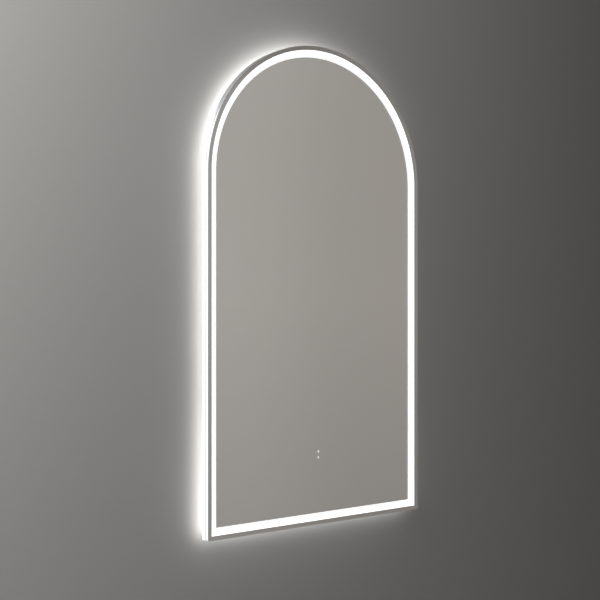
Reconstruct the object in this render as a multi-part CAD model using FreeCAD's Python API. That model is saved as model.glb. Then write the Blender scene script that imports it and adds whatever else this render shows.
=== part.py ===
import FreeCAD, Part
import math
import os

# Lighted bathroom mirror: an arched pane of glass with a raised rim, on a bent aluminium frame that
# holds one light for the front and one for the wall behind. It hangs from a rail on the wall.
# Millimetres. X runs right, Y runs from the room into the wall, Z runs up. The wall is the plane
# Y = 0. The origin is the middle of the wall rail's screw holes, level with the arch's centre.

# Driving dimensions
WIDTH = 500.0
HEIGHT = 900.0
DEPTH = 36.0                    # front of the glass to the wall
RIM = 7.5                       # width of the raised rim round the edge
RIM_STAND = 4.9                 # the rim's outer edge over the front of the glass
RIM_FALL = 1.9                  # how far its face slopes back towards the light strip
TRIM = 0.6                      # bright strip on that face
STRIP = 12.8                    # width of the light strip
WALL = 1.2                      # wall of the aluminium extrusion
GLASS = 4.5
SILVER = 0.5                    # silvering, paint and backing film, drawn thicker than life
WINDOW_Z = (-514.0, -525.0)     # heights of the two touch marks
WINDOW_SIZE = (3.0, 5.0)

# Worked out from them
ARCH_R = WIDTH / 2
LEG = HEIGHT - ARCH_R
STRIP_IN = RIM + STRIP

# Depths behind the front of the glass
SILVER_BACK = GLASS + SILVER
FLANGE_FRONT = SILVER_BACK + 1.0        # after the bonding tape
DIFFUSER_BACK = 7.0
WEB_FRONT = 11.4
WEB_BACK = WEB_FRONT + 1.0
FRAME_BACK = 27.0
PANEL_T = 1.2
PANEL_BACK = FRAME_BACK + PANEL_T
LEAD_DEPTH = 21.2

# Insets from the edge of the glass
EDGE = 0.2                      # the frame's lip and the rear cover stop just short of the edge
FRAME_OUT = 1.5                 # outer face of the frame's outer wall
FRAME_WALL = 24.0               # outer face of the frame's inner wall
FLANGE_IN = 37.0
SCREW_LINE = 31.0

# Rail
RAIL_LENGTH = 300.0
RAIL_T = 2.0
RAIL_HOLES_X = (-120.0, -40.0, 40.0, 120.0)
RAIL_HOLE_R = 2.6
RAIL_LIP_TOP = 25.7
HOOK_UNDER = RAIL_LIP_TOP + 0.3
HOOK_TIP = 12.5
RIVET_Z = 44.0
RIVET_X = (-130.0, -65.0, 0.0, 65.0, 130.0)
RIVET_HOLE_R = 1.7

# Back panel fittings, as (x, z)
GROMMET_AT = (110.0, -150.0)
GROMMET_BORE_R = 4.0
GROMMET_HOLE_R = 7.0
EARTH_AT = (150.0, -150.0)
EARTH_R = 2.0
BUMPER_AT = ((-150.0, -600.0), (150.0, -600.0))
BUMPER_HOLE_R = 2.6
SWAGE_X = (-170.0, 170.0)
SWAGE_Z = (-500.0, -220.0)
SWAGE_R = 4.2
SWAGE_SINK = 2.8                # from the panel's back to the middle of the bead's round
SCREW_R = 1.25
SCREW_HOLE_R = 1.4
FIXING_R = 1.5                  # screws that hold the driver and the terminal block
FIXING_HOLE_R = 1.7

# Driver, terminal block, touch sensor and heating film
DRIVER_SIZE = (150.0, 44.0)
DRIVER_AT = (-40.0, -240.0)
DRIVER_FRONT = 9.0
DRIVER_WALL = 2.0
LID_T = 1.5
EAR = 12.0
BOARD_FRONT = 22.1
BOARD_T = 1.6
TERMINAL_AT = (60.0, -150.0)
TERMINAL_SIZE = (32.0, 16.0)
TERMINAL_FRONT = 14.0
TOUCH_SIZE = (44.0, 34.0)
TOUCH_AT = (0.0, sum(WINDOW_Z) / 2)
TOUCH_BACK = 13.0
PAD_SIZE = (300.0, 300.0)
PAD_AT = (0.0, -250.0)
PAD_T = 0.6
PATCH_T = 2.4
PATCH_DROP = 10.0               # the connector patch below the top edge of the film

V = FreeCAD.Vector


def at(x, depth, z):
    return V(x, depth - DEPTH, z)


def save(name, shape):
    shape.exportStep("parts/" + name + ".step")
    volume = sum(solid.Volume for solid in shape.Solids)
    print(name, "solids", len(shape.Solids), "volume", round(volume, 1), "valid", shape.isValid())


def rounded_path(corners, radii, closed=False):
    """Straight runs joined by tangent arcs, one radius for each corner."""
    count = len(corners)
    edges = []
    ends = []
    for index, corner in enumerate(corners):
        if not closed and index in (0, count - 1):
            ends.append((corner, corner))
            continue
        radius = radii[index]
        if radius == 0:
            ends.append((corner, corner))
            continue
        before = (corners[index - 1] - corner).normalize()
        after = (corners[(index + 1) % count] - corner).normalize()
        half = before.getAngle(after) / 2
        start = corner + before * (radius / math.tan(half))
        end = corner + after * (radius / math.tan(half))
        middle = (before + after).normalize() * (radius / math.sin(half) - radius)
        edges.append(Part.Arc(start, corner + middle, end).toShape())
        ends.append((start, end))
    last = count if closed else count - 1
    for index in range(last):
        start = ends[index][1]
        end = ends[(index + 1) % count][0]
        if start.distanceToPoint(end) > 1e-6:
            edges.append(Part.makeLine(start, end))
    return Part.Wire(Part.__sortEdges__(edges))


def outline(inset, depth):
    """The arch outline, this far inside the edge of the glass."""
    r = ARCH_R - inset
    left_foot = at(-r, depth, inset - LEG)
    left_spring = at(-r, depth, 0)
    right_spring = at(r, depth, 0)
    right_foot = at(r, depth, inset - LEG)
    arch = Part.Arc(left_spring, at(0, depth, r), right_spring).toShape()
    left = Part.makeLine(left_foot, left_spring)
    right = Part.makeLine(right_spring, right_foot)
    bottom = Part.makeLine(right_foot, left_foot)
    return Part.Wire([left, arch, right, bottom])


def plate(inset, front, back):
    return Part.Face(outline(inset, front)).extrude(V(0, back - front, 0))


def ring(outer, inner, front, back):
    return plate(outer, front, back).cut(plate(inner, front, back))


def block(x, z, width, height, front, back, corner_r=0.0):
    """A flat block centred on x and z, with rounded corners seen from the front."""
    corners = []
    for side_x, side_z in ((-1, -1), (1, -1), (1, 1), (-1, 1)):
        corners.append(at(x + side_x * width / 2, front, z + side_z * height / 2))
    wire = rounded_path(corners, [corner_r] * 4, closed=True)
    return Part.Face(wire).extrude(V(0, back - front, 0))


def rod(x, z, radius, front, back):
    return Part.makeCylinder(radius, back - front, at(x, front, z), V(0, 1, 0))


def turned(x, z, profile):
    """A turned piece on an axis along Y, from (radius, depth) points."""
    corners = [at(x + radius, depth, z) for radius, depth in profile]
    face = Part.Face(Part.makePolygon(corners + corners[:1]))
    return face.revolve(at(x, 0, z), V(0, 1, 0), 360)


# The swept pieces. Their sections are (inset, depth, corner radius) points.

def section(points, place):
    corners = [place(inset, depth) for inset, depth, _ in points]
    radii = [radius for _, _, radius in points]
    return Part.Face(rounded_path(corners, radii, closed=True))


def side_section(points):
    return section(points, lambda inset, depth: at(ARCH_R - inset, depth, 0))


def mitre_wedge(side, tip):
    """Half of a square block at a bottom corner, on one side of the corner's mitre plane."""
    reach = 60.0
    front = -RIM_STAND - 1
    x = side * ARCH_R
    low = at(x + side * reach, front, -LEG - reach)
    high = at(x - side * reach, front, -LEG + reach)
    third = at(x + side * tip * reach, front, -LEG + tip * reach)
    face = Part.Face(Part.makePolygon([low, high, third, low]))
    return face.extrude(V(0, DEPTH - front, 0))


def sweep_arch(points, foot=0.0):
    """Both legs and the arch in one. The feet are mitred, or square where foot is given."""
    face = side_section(points)
    arch = face.revolve(V(0, 0, 0), V(0, -1, 0), 180)
    legs = []
    for side in (1, -1):
        leg = face.extrude(V(0, 0, foot - LEG))
        if side < 0:
            leg = leg.mirror(V(0, 0, 0), V(1, 0, 0))
        if foot == 0:
            leg = leg.cut(mitre_wedge(side, -1))
        legs.append(leg)
    return arch.fuse(legs).removeSplitter()


def sweep_bottom(points, end=0.0):
    """The bottom run. Its ends are mitred, or square where an end inset is given."""
    face = section(points, lambda inset, depth: at(end - ARCH_R, depth, inset - LEG))
    run = face.extrude(V(WIDTH - 2 * end, 0, 0))
    if end == 0:
        run = run.cut(mitre_wedge(1, 1)).cut(mitre_wedge(-1, 1))
    return run


def swept_ring(points):
    """One closed run round the whole outline, with mitred bottom corners."""
    return sweep_arch(points).fuse(sweep_bottom(points)).removeSplitter()


def stations(inset, pitch, first):
    """Points (x, z, turn) spaced along the frame: legs and arch from below, then the bottom."""
    r = ARCH_R - inset
    places = []
    leg_count = int((LEG - inset - first) / pitch)
    for side in (1, -1):
        for step in range(leg_count):
            places.append((side * r, -first - step * pitch, 0.0))
    arch_count = round(math.pi * r / pitch)
    for step in range(arch_count):
        turn = 180.0 * (step + 0.5) / arch_count
        angle = math.radians(turn)
        places.append((r * math.cos(angle), r * math.sin(angle), turn))
    bottom_count = int((WIDTH - 2 * inset - 2 * first) / pitch) + 1
    for step in range(bottom_count):
        x = (step - (bottom_count - 1) / 2) * pitch
        places.append((x, inset - LEG, 90.0))
    return places


def panel_screw_places():
    r = ARCH_R - SCREW_LINE
    places = []
    for side in (1, -1):
        for z in (-40.0, -200.0, -360.0, -520.0):
            places.append((side * r, z))
    for turn in (30, 90, 150):
        angle = math.radians(turn)
        places.append((r * math.cos(angle), r * math.sin(angle)))
    for x in (-130.0, 130.0):
        places.append((x, SCREW_LINE - LEG))
    return places


def pan_screw(x, z, head_face, tip, shank_r=SCREW_R, toward=1):
    """Pan head on head_face, shank to tip. toward is the way along Y that the head stands."""
    head_r = shank_r * 2.2
    head_t = shank_r * 1.4
    profile = [(0, head_face + toward * head_t), (head_r * 0.55, head_face + toward * head_t),
               (head_r, head_face + toward * head_t * 0.45), (head_r, head_face),
               (shank_r, head_face), (shank_r, tip + toward * shank_r), (0, tip)]
    return turned(x, z, profile)


# Glass, its backing and the rim on its margin

def mirror_glass():
    arris = 0.6
    glass = plate(0, 0, GLASS)
    edges = [edge for edge in glass.Edges if edge.BoundBox.YLength < 1e-6]
    return glass.makeChamfer(arris, edges)


def rim_lens():
    """Opal bar bonded to the margin of the glass. It lets the strip's light out on both sides."""
    top = TRIM - RIM_STAND
    return swept_ring([(0, top, 0), (RIM, top + RIM_FALL, 0), (RIM, 0, 0), (0, 0, 0)])


def silver_rim():
    """Bright strip on the sloping face of the bar."""
    outer = -RIM_STAND
    inner = outer + RIM_FALL
    return swept_ring([(0, outer, 0), (RIM, inner, 0), (RIM, inner + TRIM, 0), (0, outer + TRIM, 0)])


def window(z, front, back, gap=0.0):
    """The stadium shape of a touch mark."""
    width = WINDOW_SIZE[0] - 2 * gap
    height = WINDOW_SIZE[1] - 2 * gap
    return block(0, z, width, height, front, back, width / 2 - 0.01)


def silver_pane():
    pane = plate(STRIP_IN, GLASS, SILVER_BACK)
    for z in WINDOW_Z:
        pane = pane.cut(window(z, GLASS - 1, SILVER_BACK + 1))
    return pane


def front_diffuser():
    """A flat ring with a step: its raised part lies on the bare glass outside the silvering."""
    gap = 0.2
    outer = FRAME_OUT + WALL + gap
    seat = ring(outer, FRAME_WALL - gap, SILVER_BACK, DIFFUSER_BACK)
    raised = ring(outer, STRIP_IN, GLASS, SILVER_BACK)
    return seat.fuse(raised).removeSplitter()


# Frame. One extrusion: a lip under the edge of the glass, a front channel for the front light, a
# rear channel for the wall light, a slot for the corner keys, and flanges for the glass and the
# back panel.

LEDGE = 0.8
LIP_BACK = 5.9
KEY_SLOT = (19.2, FRAME_WALL)
KEY_DEPTH = (WEB_BACK, 14.6)
CLIP_DEPTH = 24.8


def frame_section():
    out = FRAME_OUT
    inner = FRAME_WALL
    ledge_front = DIFFUSER_BACK + 0.1
    ledge_back = ledge_front + LEDGE
    key_fin = KEY_SLOT[0]
    key_lip = KEY_DEPTH[1]
    clip_back = CLIP_DEPTH + LEDGE
    front_channel = [(EDGE, GLASS, 0), (out + WALL, GLASS, 0),
                     (out + WALL, ledge_front, 0), (out + WALL + 1, ledge_front, 0),
                     (out + WALL + 1, ledge_back, 0), (out + WALL, ledge_back, 0),
                     (out + WALL, WEB_FRONT, 0), (inner, WEB_FRONT, 0),
                     (inner, ledge_back, 0), (inner - 1, ledge_back, 0),
                     (inner - 1, ledge_front, 0), (inner, ledge_front, 0)]
    flanges = [(inner, FLANGE_FRONT, 0), (FLANGE_IN, FLANGE_FRONT, 0),
               (FLANGE_IN, FLANGE_FRONT + WALL, 0), (inner + WALL, FLANGE_FRONT + WALL, 0),
               (inner + WALL, FRAME_BACK - WALL, 0), (FLANGE_IN, FRAME_BACK - WALL, 0),
               (FLANGE_IN, FRAME_BACK, 0), (inner, FRAME_BACK, 0)]
    clip_out = inner - 1.6
    clip_lip = [(inner, clip_back, 0), (clip_out, clip_back, 0), (clip_out, CLIP_DEPTH, 0),
                (inner, CLIP_DEPTH, 0)]
    key_slot = [(inner, key_lip + LEDGE, 0), (inner - LEDGE, key_lip + LEDGE, 0),
                (inner - LEDGE, key_lip, 0), (inner, key_lip, 0), (inner, WEB_BACK, 0),
                (key_fin, WEB_BACK, 0), (key_fin, key_lip, 0), (key_fin + LEDGE, key_lip, 0),
                (key_fin + LEDGE, key_lip + LEDGE, 0), (key_fin - LEDGE, key_lip + LEDGE, 0),
                (key_fin - LEDGE, WEB_BACK, 0)]
    fin_out = out + 2.5
    fin_back = WEB_BACK + 1.4
    foot_fin = [(fin_out + LEDGE, WEB_BACK, 0), (fin_out + LEDGE, fin_back, 0),
                (fin_out, fin_back, 0), (fin_out, WEB_BACK, 0)]
    lip = [(out, WEB_BACK, 0), (out, LIP_BACK, 0), (EDGE, LIP_BACK, 0)]
    return front_channel + flanges + clip_lip + key_slot + foot_fin + lip


def drilled(profile):
    """Screw holes through the rear flange."""
    holes = [rod(x, z, SCREW_HOLE_R, FRAME_BACK - 3, FRAME_BACK + 1)
             for x, z in panel_screw_places()]
    return profile.cut(Part.makeCompound(holes))


def arch_profile():
    profile = drilled(sweep_arch(frame_section()))
    for depth, z in (FRONT_LEAD_HOLE, REAR_LEAD_HOLE):
        start = at(FRAME_WALL - ARCH_R - 3, depth, z)
        profile = profile.cut(Part.makeCylinder(LEAD_HOLE_R, 8, start, V(1, 0, 0)))
    return profile


def corner_key(side):
    """An L of flat bar in the key slots, one leg up the side and one along the bottom."""
    near = KEY_SLOT[0] + 0.2
    far = KEY_SLOT[1] - 0.2
    leg = 45.0
    front = KEY_DEPTH[0] + 0.1
    corners = []
    for inset_x, inset_z in ((near, near), (near, near + leg), (far, near + leg), (far, far),
                             (near + leg, far), (near + leg, near)):
        corners.append(at(side * (ARCH_R - inset_x), front, inset_z - LEG))
    wire = rounded_path(corners, [2.0, 0, 0, 1.0, 0, 0], closed=True)
    key = Part.Face(wire).extrude(V(0, KEY_DEPTH[1] - 0.1 - front, 0))
    for x, z in key_screw_places(side):
        key = key.cut(rod(x, z, SCREW_HOLE_R, front - 1, KEY_DEPTH[1] + 1))
    return key


def key_screw_places(side):
    middle = sum(KEY_SLOT) / 2
    places = []
    for along in (36.0, 56.0):
        places.append((side * (ARCH_R - middle), along - LEG))
        places.append((side * (ARCH_R - along), middle - LEG))
    return places


def corner_key_screws():
    screws = []
    for x, z in key_screw_places(1) + key_screw_places(-1):
        screw = rod(x, z, SCREW_HOLE_R - 0.1, WEB_BACK, 15.2)
        socket = rod(x, z, 0.6, 14.0, 16.0)
        screws.append(screw.cut(socket))
    return Part.makeCompound(screws)


def rear_diffuser_section():
    """Opal cover: a skirt over the frame's outer wall, a foot behind that wall, and a face that
    slants in to the clip lip."""
    skin = 1.6
    gap = 0.1
    skirt_in = FRAME_OUT - gap
    foot_in = FRAME_OUT + gap + skin
    foot = WEB_BACK + gap
    clip = CLIP_DEPTH - gap
    inner = FRAME_WALL - gap
    bend = (EDGE, foot + 3.6, 1.4)
    return [(EDGE, LIP_BACK + gap, 0), bend, (inner - 2.5, clip, 0), (inner, clip, 0),
            (inner, clip - skin, 0), (inner - 2.1, clip - skin, 0), (foot_in, foot + 2.7, 0),
            (foot_in, foot, 0), (skirt_in, foot, 0), (skirt_in, LIP_BACK + gap, 0)]


# Lights

TAPE_T = 0.5
TAPE_FACE = WEB_FRONT - TAPE_T
BEAD_TOP = TAPE_FACE - 1.2
FRONT_TAPE = [(9.5, TAPE_FACE, 0), (9.5, WEB_FRONT, 0), (17.5, WEB_FRONT, 0), (17.5, TAPE_FACE, 0)]
BEAD = [(12.0, TAPE_FACE, 0), (15.0, TAPE_FACE, 0), (15.0, BEAD_TOP, 0.9), (12.0, BEAD_TOP, 0.9)]
REAR_TAPE = [(7.0, WEB_BACK, 0), (7.0, WEB_BACK + TAPE_T, 0), (15.0, WEB_BACK + TAPE_T, 0),
             (15.0, WEB_BACK, 0)]
CHIP_LINE = 11.0
CHIP_PITCH = 25.0
CHIP = 5.0
CHIP_T = 1.5


def cut_tape(points):
    """Two cut lengths: one up the legs and over the arch, one along the bottom."""
    insets = [inset for inset, _, _ in points]
    return Part.makeCompound([sweep_arch(points, foot=min(insets)),
                              sweep_bottom(points, end=max(insets) + 1)])


def rear_led_chips():
    front = WEB_BACK + TAPE_T
    chips = []
    for x, z, turn in stations(CHIP_LINE, CHIP_PITCH, CHIP_PITCH / 2):
        chip = block(0, 0, CHIP, CHIP, front, front + CHIP_T)
        chip.rotate(V(0, 0, 0), V(0, -1, 0), turn)
        chip.translate(V(x, 0, z))
        chips.append(chip)
    return Part.makeCompound(chips)


# Back panel and what it carries

def swage(x):
    """A pressed stiffening bead in the panel: the metal that stands proud, and its hollow."""
    low, high = SWAGE_Z
    centre = PANEL_BACK - SWAGE_SINK
    solids = []
    for radius in (SWAGE_R, SWAGE_R - PANEL_T):
        tube = Part.makeCylinder(radius, high - low, at(x, centre, low), V(0, 0, 1))
        ends = [Part.makeSphere(radius, at(x, centre, z)) for z in SWAGE_Z]
        solids.append(tube.fuse(ends))
    behind = block(x, (low + high) / 2, 20, high - low + 40, PANEL_BACK - 0.2, DEPTH)
    return solids[0].common(behind), solids[1]


def back_panel():
    panel = plate(FRAME_WALL + WALL + 0.2, FRAME_BACK, PANEL_BACK)
    for x in SWAGE_X:
        proud, hollow = swage(x)
        panel = panel.fuse(proud).cut(hollow)
    holes = [(x, z, SCREW_HOLE_R + 0.2) for x, z in panel_screw_places()]
    holes += [(x, RIVET_Z, RIVET_HOLE_R) for x in RIVET_X]
    holes += [(x, z, BUMPER_HOLE_R) for x, z in BUMPER_AT]
    holes += [(x, DRIVER_AT[1], FIXING_HOLE_R - 0.1) for x in driver_ear_places()]
    holes += [(TERMINAL_AT[0], TERMINAL_AT[1], FIXING_HOLE_R - 0.1)]
    holes += [(GROMMET_AT[0], GROMMET_AT[1], GROMMET_HOLE_R)]
    cutters = [rod(x, z, radius, FRAME_BACK - 2, PANEL_BACK + 2) for x, z, radius in holes]
    return panel.cut(Part.makeCompound(cutters))


def panel_screws():
    return Part.makeCompound([pan_screw(x, z, PANEL_BACK, FRAME_BACK - 4)
                              for x, z in panel_screw_places()])


def cable_grommet():
    x, z = GROMMET_AT
    flange_r = 9.5
    flange_t = 1.1
    groove_r = GROMMET_HOLE_R - 0.1
    front = FRAME_BACK - flange_t
    back = PANEL_BACK + flange_t
    profile = [(GROMMET_BORE_R, front), (flange_r - 0.5, front), (flange_r, front + 0.5),
               (flange_r, FRAME_BACK), (groove_r, FRAME_BACK), (groove_r, PANEL_BACK),
               (flange_r, PANEL_BACK), (flange_r, back - 0.5), (flange_r - 0.6, back),
               (GROMMET_BORE_R, back)]
    return turned(x, z, profile)


def wall_bumpers():
    """Feet with a barbed stem pushed through the panel and a cupped face on the wall."""
    stem_r = BUMPER_HOLE_R - 0.2
    barb_r = stem_r + 0.8
    foot_r = 10.0
    stem = [(0, 25.0), (1.6, 25.0), (barb_r, 26.2), (barb_r, FRAME_BACK), (stem_r, FRAME_BACK),
            (stem_r, PANEL_BACK)]
    foot = [(foot_r, PANEL_BACK), (foot_r, 30.0), (foot_r - 1.5, DEPTH - 0.8),
            (foot_r - 2.5, DEPTH), (3.0, DEPTH), (2.0, DEPTH - 1.0), (0, DEPTH - 1.0)]
    return Part.makeCompound([turned(x, z, stem + foot) for x, z in BUMPER_AT])


def earth_stud():
    """Stud with a weld flange on the panel's inner face."""
    x, z = EARTH_AT
    tip = 18.0
    flange_r = 3.5
    flange_front = FRAME_BACK - 0.8
    profile = [(0, tip), (EARTH_R - 0.5, tip), (EARTH_R, tip + 0.5), (EARTH_R, flange_front),
               (flange_r, flange_front), (flange_r, FRAME_BACK), (0, FRAME_BACK)]
    return turned(x, z, profile)


def hexagon(x, z, across_flats, front, back):
    corner_r = across_flats / math.sqrt(3)
    corners = []
    for step in range(6):
        angle = math.radians(60 * step)
        corners.append(at(x + corner_r * math.cos(angle), front, z + corner_r * math.sin(angle)))
    return Part.Face(Part.makePolygon(corners + corners[:1])).extrude(V(0, back - front, 0))


EYE_FRONT = 24.4
EYE_BACK = EYE_FRONT + 0.8


def earth_nut():
    """Hexagon nut with a fixed washer that presses on the lead's eye."""
    x, z = EARTH_AT
    washer_front = EYE_FRONT - 0.8
    nut = hexagon(x, z, 7.0, washer_front - 3.2, washer_front)
    washer = rod(x, z, 4.5, washer_front, EYE_FRONT)
    return nut.fuse(washer).cut(rod(x, z, EARTH_R + 0.1, washer_front - 4, EYE_BACK))


# Driver

def driver_ear_places():
    reach = DRIVER_SIZE[0] / 2 + EAR / 2
    return (DRIVER_AT[0] - reach, DRIVER_AT[0] + reach)


def driver_case():
    """An open tray with two screw ears, four board posts and a lead entry in each end."""
    x, z = DRIVER_AT
    width, height = DRIVER_SIZE
    rim = DRIVER_FRONT + LID_T
    floor = FRAME_BACK - 1.6
    inside = (width - 2 * DRIVER_WALL, height - 2 * DRIVER_WALL)
    case = block(x, z, width, height, rim, FRAME_BACK, 3.0)
    case = case.cut(block(x, z, inside[0], inside[1], rim - 1, floor, 1.5))
    case = case.fuse(block(x, z, width + 2 * EAR, 20, FRAME_BACK - 2, FRAME_BACK, 5.0))
    posts = []
    for side_x in (-1, 1):
        for side_z in (-1, 1):
            post_x = x + side_x * (width / 2 - 10)
            post_z = z + side_z * (height / 2 - 8)
            posts.append(rod(post_x, post_z, 2.5, BOARD_FRONT + BOARD_T, floor + 0.6))
    case = case.fuse(posts)
    for ear_x in driver_ear_places():
        case = case.cut(rod(ear_x, z, FIXING_HOLE_R, FRAME_BACK - 4, FRAME_BACK + 1))
    for end, entry_z, radius in LEAD_ENTRIES:
        entry = at(x + end * (width / 2 - 4), LEAD_DEPTH, entry_z)
        case = case.cut(Part.makeCylinder(radius, 8, entry, V(end, 0, 0)))
    return case.removeSplitter()


def driver_lid():
    """Flat lid with a lip that drops inside the tray, and cooling ribs on top."""
    x, z = DRIVER_AT
    width, height = DRIVER_SIZE
    under = DRIVER_FRONT + LID_T
    inset = 2 * DRIVER_WALL + 0.4
    rib_pitch = 12.0
    top = block(x, z, width, height, DRIVER_FRONT, under, 3.0)
    lip = block(x, z, width - inset, height - inset, under, under + 2.5, 1.3)
    lip = lip.cut(block(x, z, width - inset - 3, height - inset - 3, under - 1, under + 4, 1.0))
    ribs = [block(x + step * rib_pitch, z, 2.0, height - 12, DRIVER_FRONT - 0.8, DRIVER_FRONT, 0.9)
            for step in range(-5, 6)]
    return top.fuse([lip] + ribs)


def driver_board():
    """Circuit board with transformer, choke, capacitors and heat sink, soldered as one."""
    x, z = DRIVER_AT
    front = BOARD_FRONT
    board = block(x, z, DRIVER_SIZE[0] - 8, DRIVER_SIZE[1] - 8, front, front + BOARD_T, 1.0)
    core = block(x - 8, z, 24, 22, 14.5, 21, 1.0)
    bobbin = block(x - 8, z, 18, 26, 15.5, front, 2.0)
    choke = turned(x + 38, z + 5, [(2.5, 15.5), (7.5, 15.5), (7.5, front), (2.5, front)])
    sink = block(x + 14, z, 2, 24, 14.0, front)
    pieces = [core, bobbin, choke, sink]
    for cap_x, cap_z, cap_r, tall in ((-34, 6, 5, 7.9), (-34, -7, 5, 7.9), (24, -6, 4, 6.6),
                                      (-50, 0, 3.5, 5.6)):
        pieces.append(rod(x + cap_x, z + cap_z, cap_r, front - tall, front))
    return board.fuse(pieces)


def driver_screws():
    ear_face = FRAME_BACK - 2
    return Part.makeCompound([pan_screw(x, DRIVER_AT[1], ear_face, PANEL_BACK, FIXING_R, -1)
                              for x in driver_ear_places()])


# Terminal block: three poles, each with a wire way right through and a screw from the front. One
# screw through the panel holds it from behind.

POLE_PITCH = 9.0
POLE_SCREW_R = 1.9
FIXING_TIP = 23.0
POLE_X = tuple(TERMINAL_AT[0] + step * POLE_PITCH for step in (-1, 0, 1))
WIRE_WAY_DEPTH = 19.0
WIRE_WAY_R = 2.3


def terminal_block():
    x, z = TERMINAL_AT
    body = block(x, z, TERMINAL_SIZE[0], TERMINAL_SIZE[1], TERMINAL_FRONT + 2, FRAME_BACK, 1.5)
    towers = [block(pole, z, 6.6, 12, TERMINAL_FRONT, TERMINAL_FRONT + 2, 1.0) for pole in POLE_X]
    body = body.fuse(towers)
    for pole in POLE_X:
        way = at(pole, WIRE_WAY_DEPTH, z - 12)
        body = body.cut(Part.makeCylinder(WIRE_WAY_R, 24, way, V(0, 0, 1)))
        body = body.cut(rod(pole, z, POLE_SCREW_R + 0.1, TERMINAL_FRONT - 1, WIRE_WAY_DEPTH))
    return body.cut(rod(x, z, FIXING_HOLE_R, FIXING_TIP - 0.5, FRAME_BACK + 1))


def terminal_screws():
    x, z = TERMINAL_AT
    top = TERMINAL_FRONT + 0.8
    screws = [pan_screw(x, z, PANEL_BACK, FIXING_TIP, FIXING_R)]
    for pole in POLE_X:
        screw = rod(pole, z, POLE_SCREW_R, top, WIRE_WAY_DEPTH - 0.4)
        slot = block(pole, z, 5, 0.7, top - 0.8, top + 0.9)
        screws.append(screw.cut(slot))
    return Part.makeCompound(screws)


# Heating film and touch sensor on the back of the silvering

TOUCH_LAMP_TOP = 7.0

def demister_pad():
    """Film with a soldered connector patch near its top edge."""
    x, z = PAD_AT
    back = SILVER_BACK + PAD_T
    film = block(x, z, PAD_SIZE[0], PAD_SIZE[1], SILVER_BACK, back, 12.0)
    patch_z = z + PAD_SIZE[1] / 2 - PATCH_DROP
    return film.fuse(block(x, patch_z, 26, 14, back, back + PATCH_T, 2.0))


def touch_case():
    x, z = TOUCH_AT
    width, height = TOUCH_SIZE
    case = block(x, z, width, height, SILVER_BACK, TOUCH_BACK, 4.0)
    case = case.cut(block(x, z, width - 4, height - 4, SILVER_BACK - 1, TOUCH_BACK - 1.5, 2.5))
    entry = at(x + width / 2 - 4, TOUCH_LEAD_DEPTH, z)
    return case.cut(Part.makeCylinder(LEAD_HOLE_R, 8, entry, V(1, 0, 0)))


def touch_board():
    """Board with two lamps that shine into the light guides, and a chip behind."""
    x, z = TOUCH_AT
    front = TOUCH_LAMP_TOP + 0.6
    back = front + 1.0
    board = block(x, z, TOUCH_SIZE[0] - 5, TOUCH_SIZE[1] - 5, front, back, 1.5)
    lamps = [block(x, lamp_z, 3.2, 1.6, TOUCH_LAMP_TOP, front) for lamp_z in WINDOW_Z]
    chip = block(x - 8, z, 6, 5, back, back + 1.2)
    return board.fuse(lamps + [chip])


def touch_light_guides():
    guides = [window(z, GLASS, TOUCH_LAMP_TOP - 0.1, gap=0.1) for z in WINDOW_Z]
    return Part.makeCompound(guides)


# Leads. Each route is straight runs joined by arcs, from (x, depth, z) corners.

FRONT_LEAD_HOLE = (9.3, -232.0)
REAR_LEAD_HOLE = (17.2, -250.0)
TOUCH_LEAD_DEPTH = 10.4
DRIVER_LEFT = DRIVER_AT[0] - DRIVER_SIZE[0] / 2
DRIVER_RIGHT = DRIVER_AT[0] + DRIVER_SIZE[0] / 2
LEAD_R = 1.0
LEAD_HOLE_R = 1.3
SUPPLY_R = 2.2
SUPPLY_ENTRY_Z = -229.0
TOUCH_ENTRY_Z = -252.0
LEAD_ENTRIES = ((-1, FRONT_LEAD_HOLE[1], LEAD_R + 0.2), (-1, REAR_LEAD_HOLE[1], LEAD_R + 0.2),
                (1, SUPPLY_ENTRY_Z, SUPPLY_R + 0.2), (1, TOUCH_ENTRY_Z, LEAD_R + 0.2))
TOUCH_LEAD_X = 90.0


def lead(name, radius, corners, radii):
    path = rounded_path([at(*corner) for corner in corners], radii)
    start = path.OrderedEdges[0]
    first = at(*corners[0])
    direction = at(*corners[1]) - first
    circle = Part.Wire(Part.makeCircle(radius, first, direction))
    tube = path.makePipeShell([circle], True, False)
    expected = math.pi * radius ** 2 * path.Length
    print(name, "length", round(path.Length, 1), "volume ratio", round(tube.Volume / expected, 4),
          "first run", round(start.Length, 1), "radii", radii)
    return tube


def supply_lead():
    pole = POLE_X[1]
    return lead("supply_lead", SUPPLY_R,
                [(pole, WIRE_WAY_DEPTH, TERMINAL_AT[1] - 3), (pole, WIRE_WAY_DEPTH, -180),
                 (pole, LEAD_DEPTH, -195), (pole, LEAD_DEPTH, SUPPLY_ENTRY_Z),
                 (DRIVER_RIGHT - 3, LEAD_DEPTH, SUPPLY_ENTRY_Z)],
                [0, 14, 14, 14, 0])


def front_led_lead():
    depth, z = FRONT_LEAD_HOLE
    end = ARCH_R - max(inset for inset, _, _ in BEAD) - LEAD_R * 0.4
    return lead("front_led_lead", LEAD_R,
                [(DRIVER_LEFT + 3, LEAD_DEPTH, z), (-180, LEAD_DEPTH, z), (-200, depth, z),
                 (-end, depth, z)],
                [0, 12, 12, 0])


def rear_led_lead():
    depth, z = REAR_LEAD_HOLE
    end = ARCH_R - max(inset for inset, _, _ in REAR_TAPE) + LEAD_R * 1.5
    return lead("rear_led_lead", LEAD_R,
                [(DRIVER_LEFT + 3, LEAD_DEPTH, z), (-180, LEAD_DEPTH, z), (-196, depth, z),
                 (-end, depth, z), (-end, WEB_BACK + TAPE_T, z)],
                [0, 12, 12, 2.4, 0])


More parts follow.
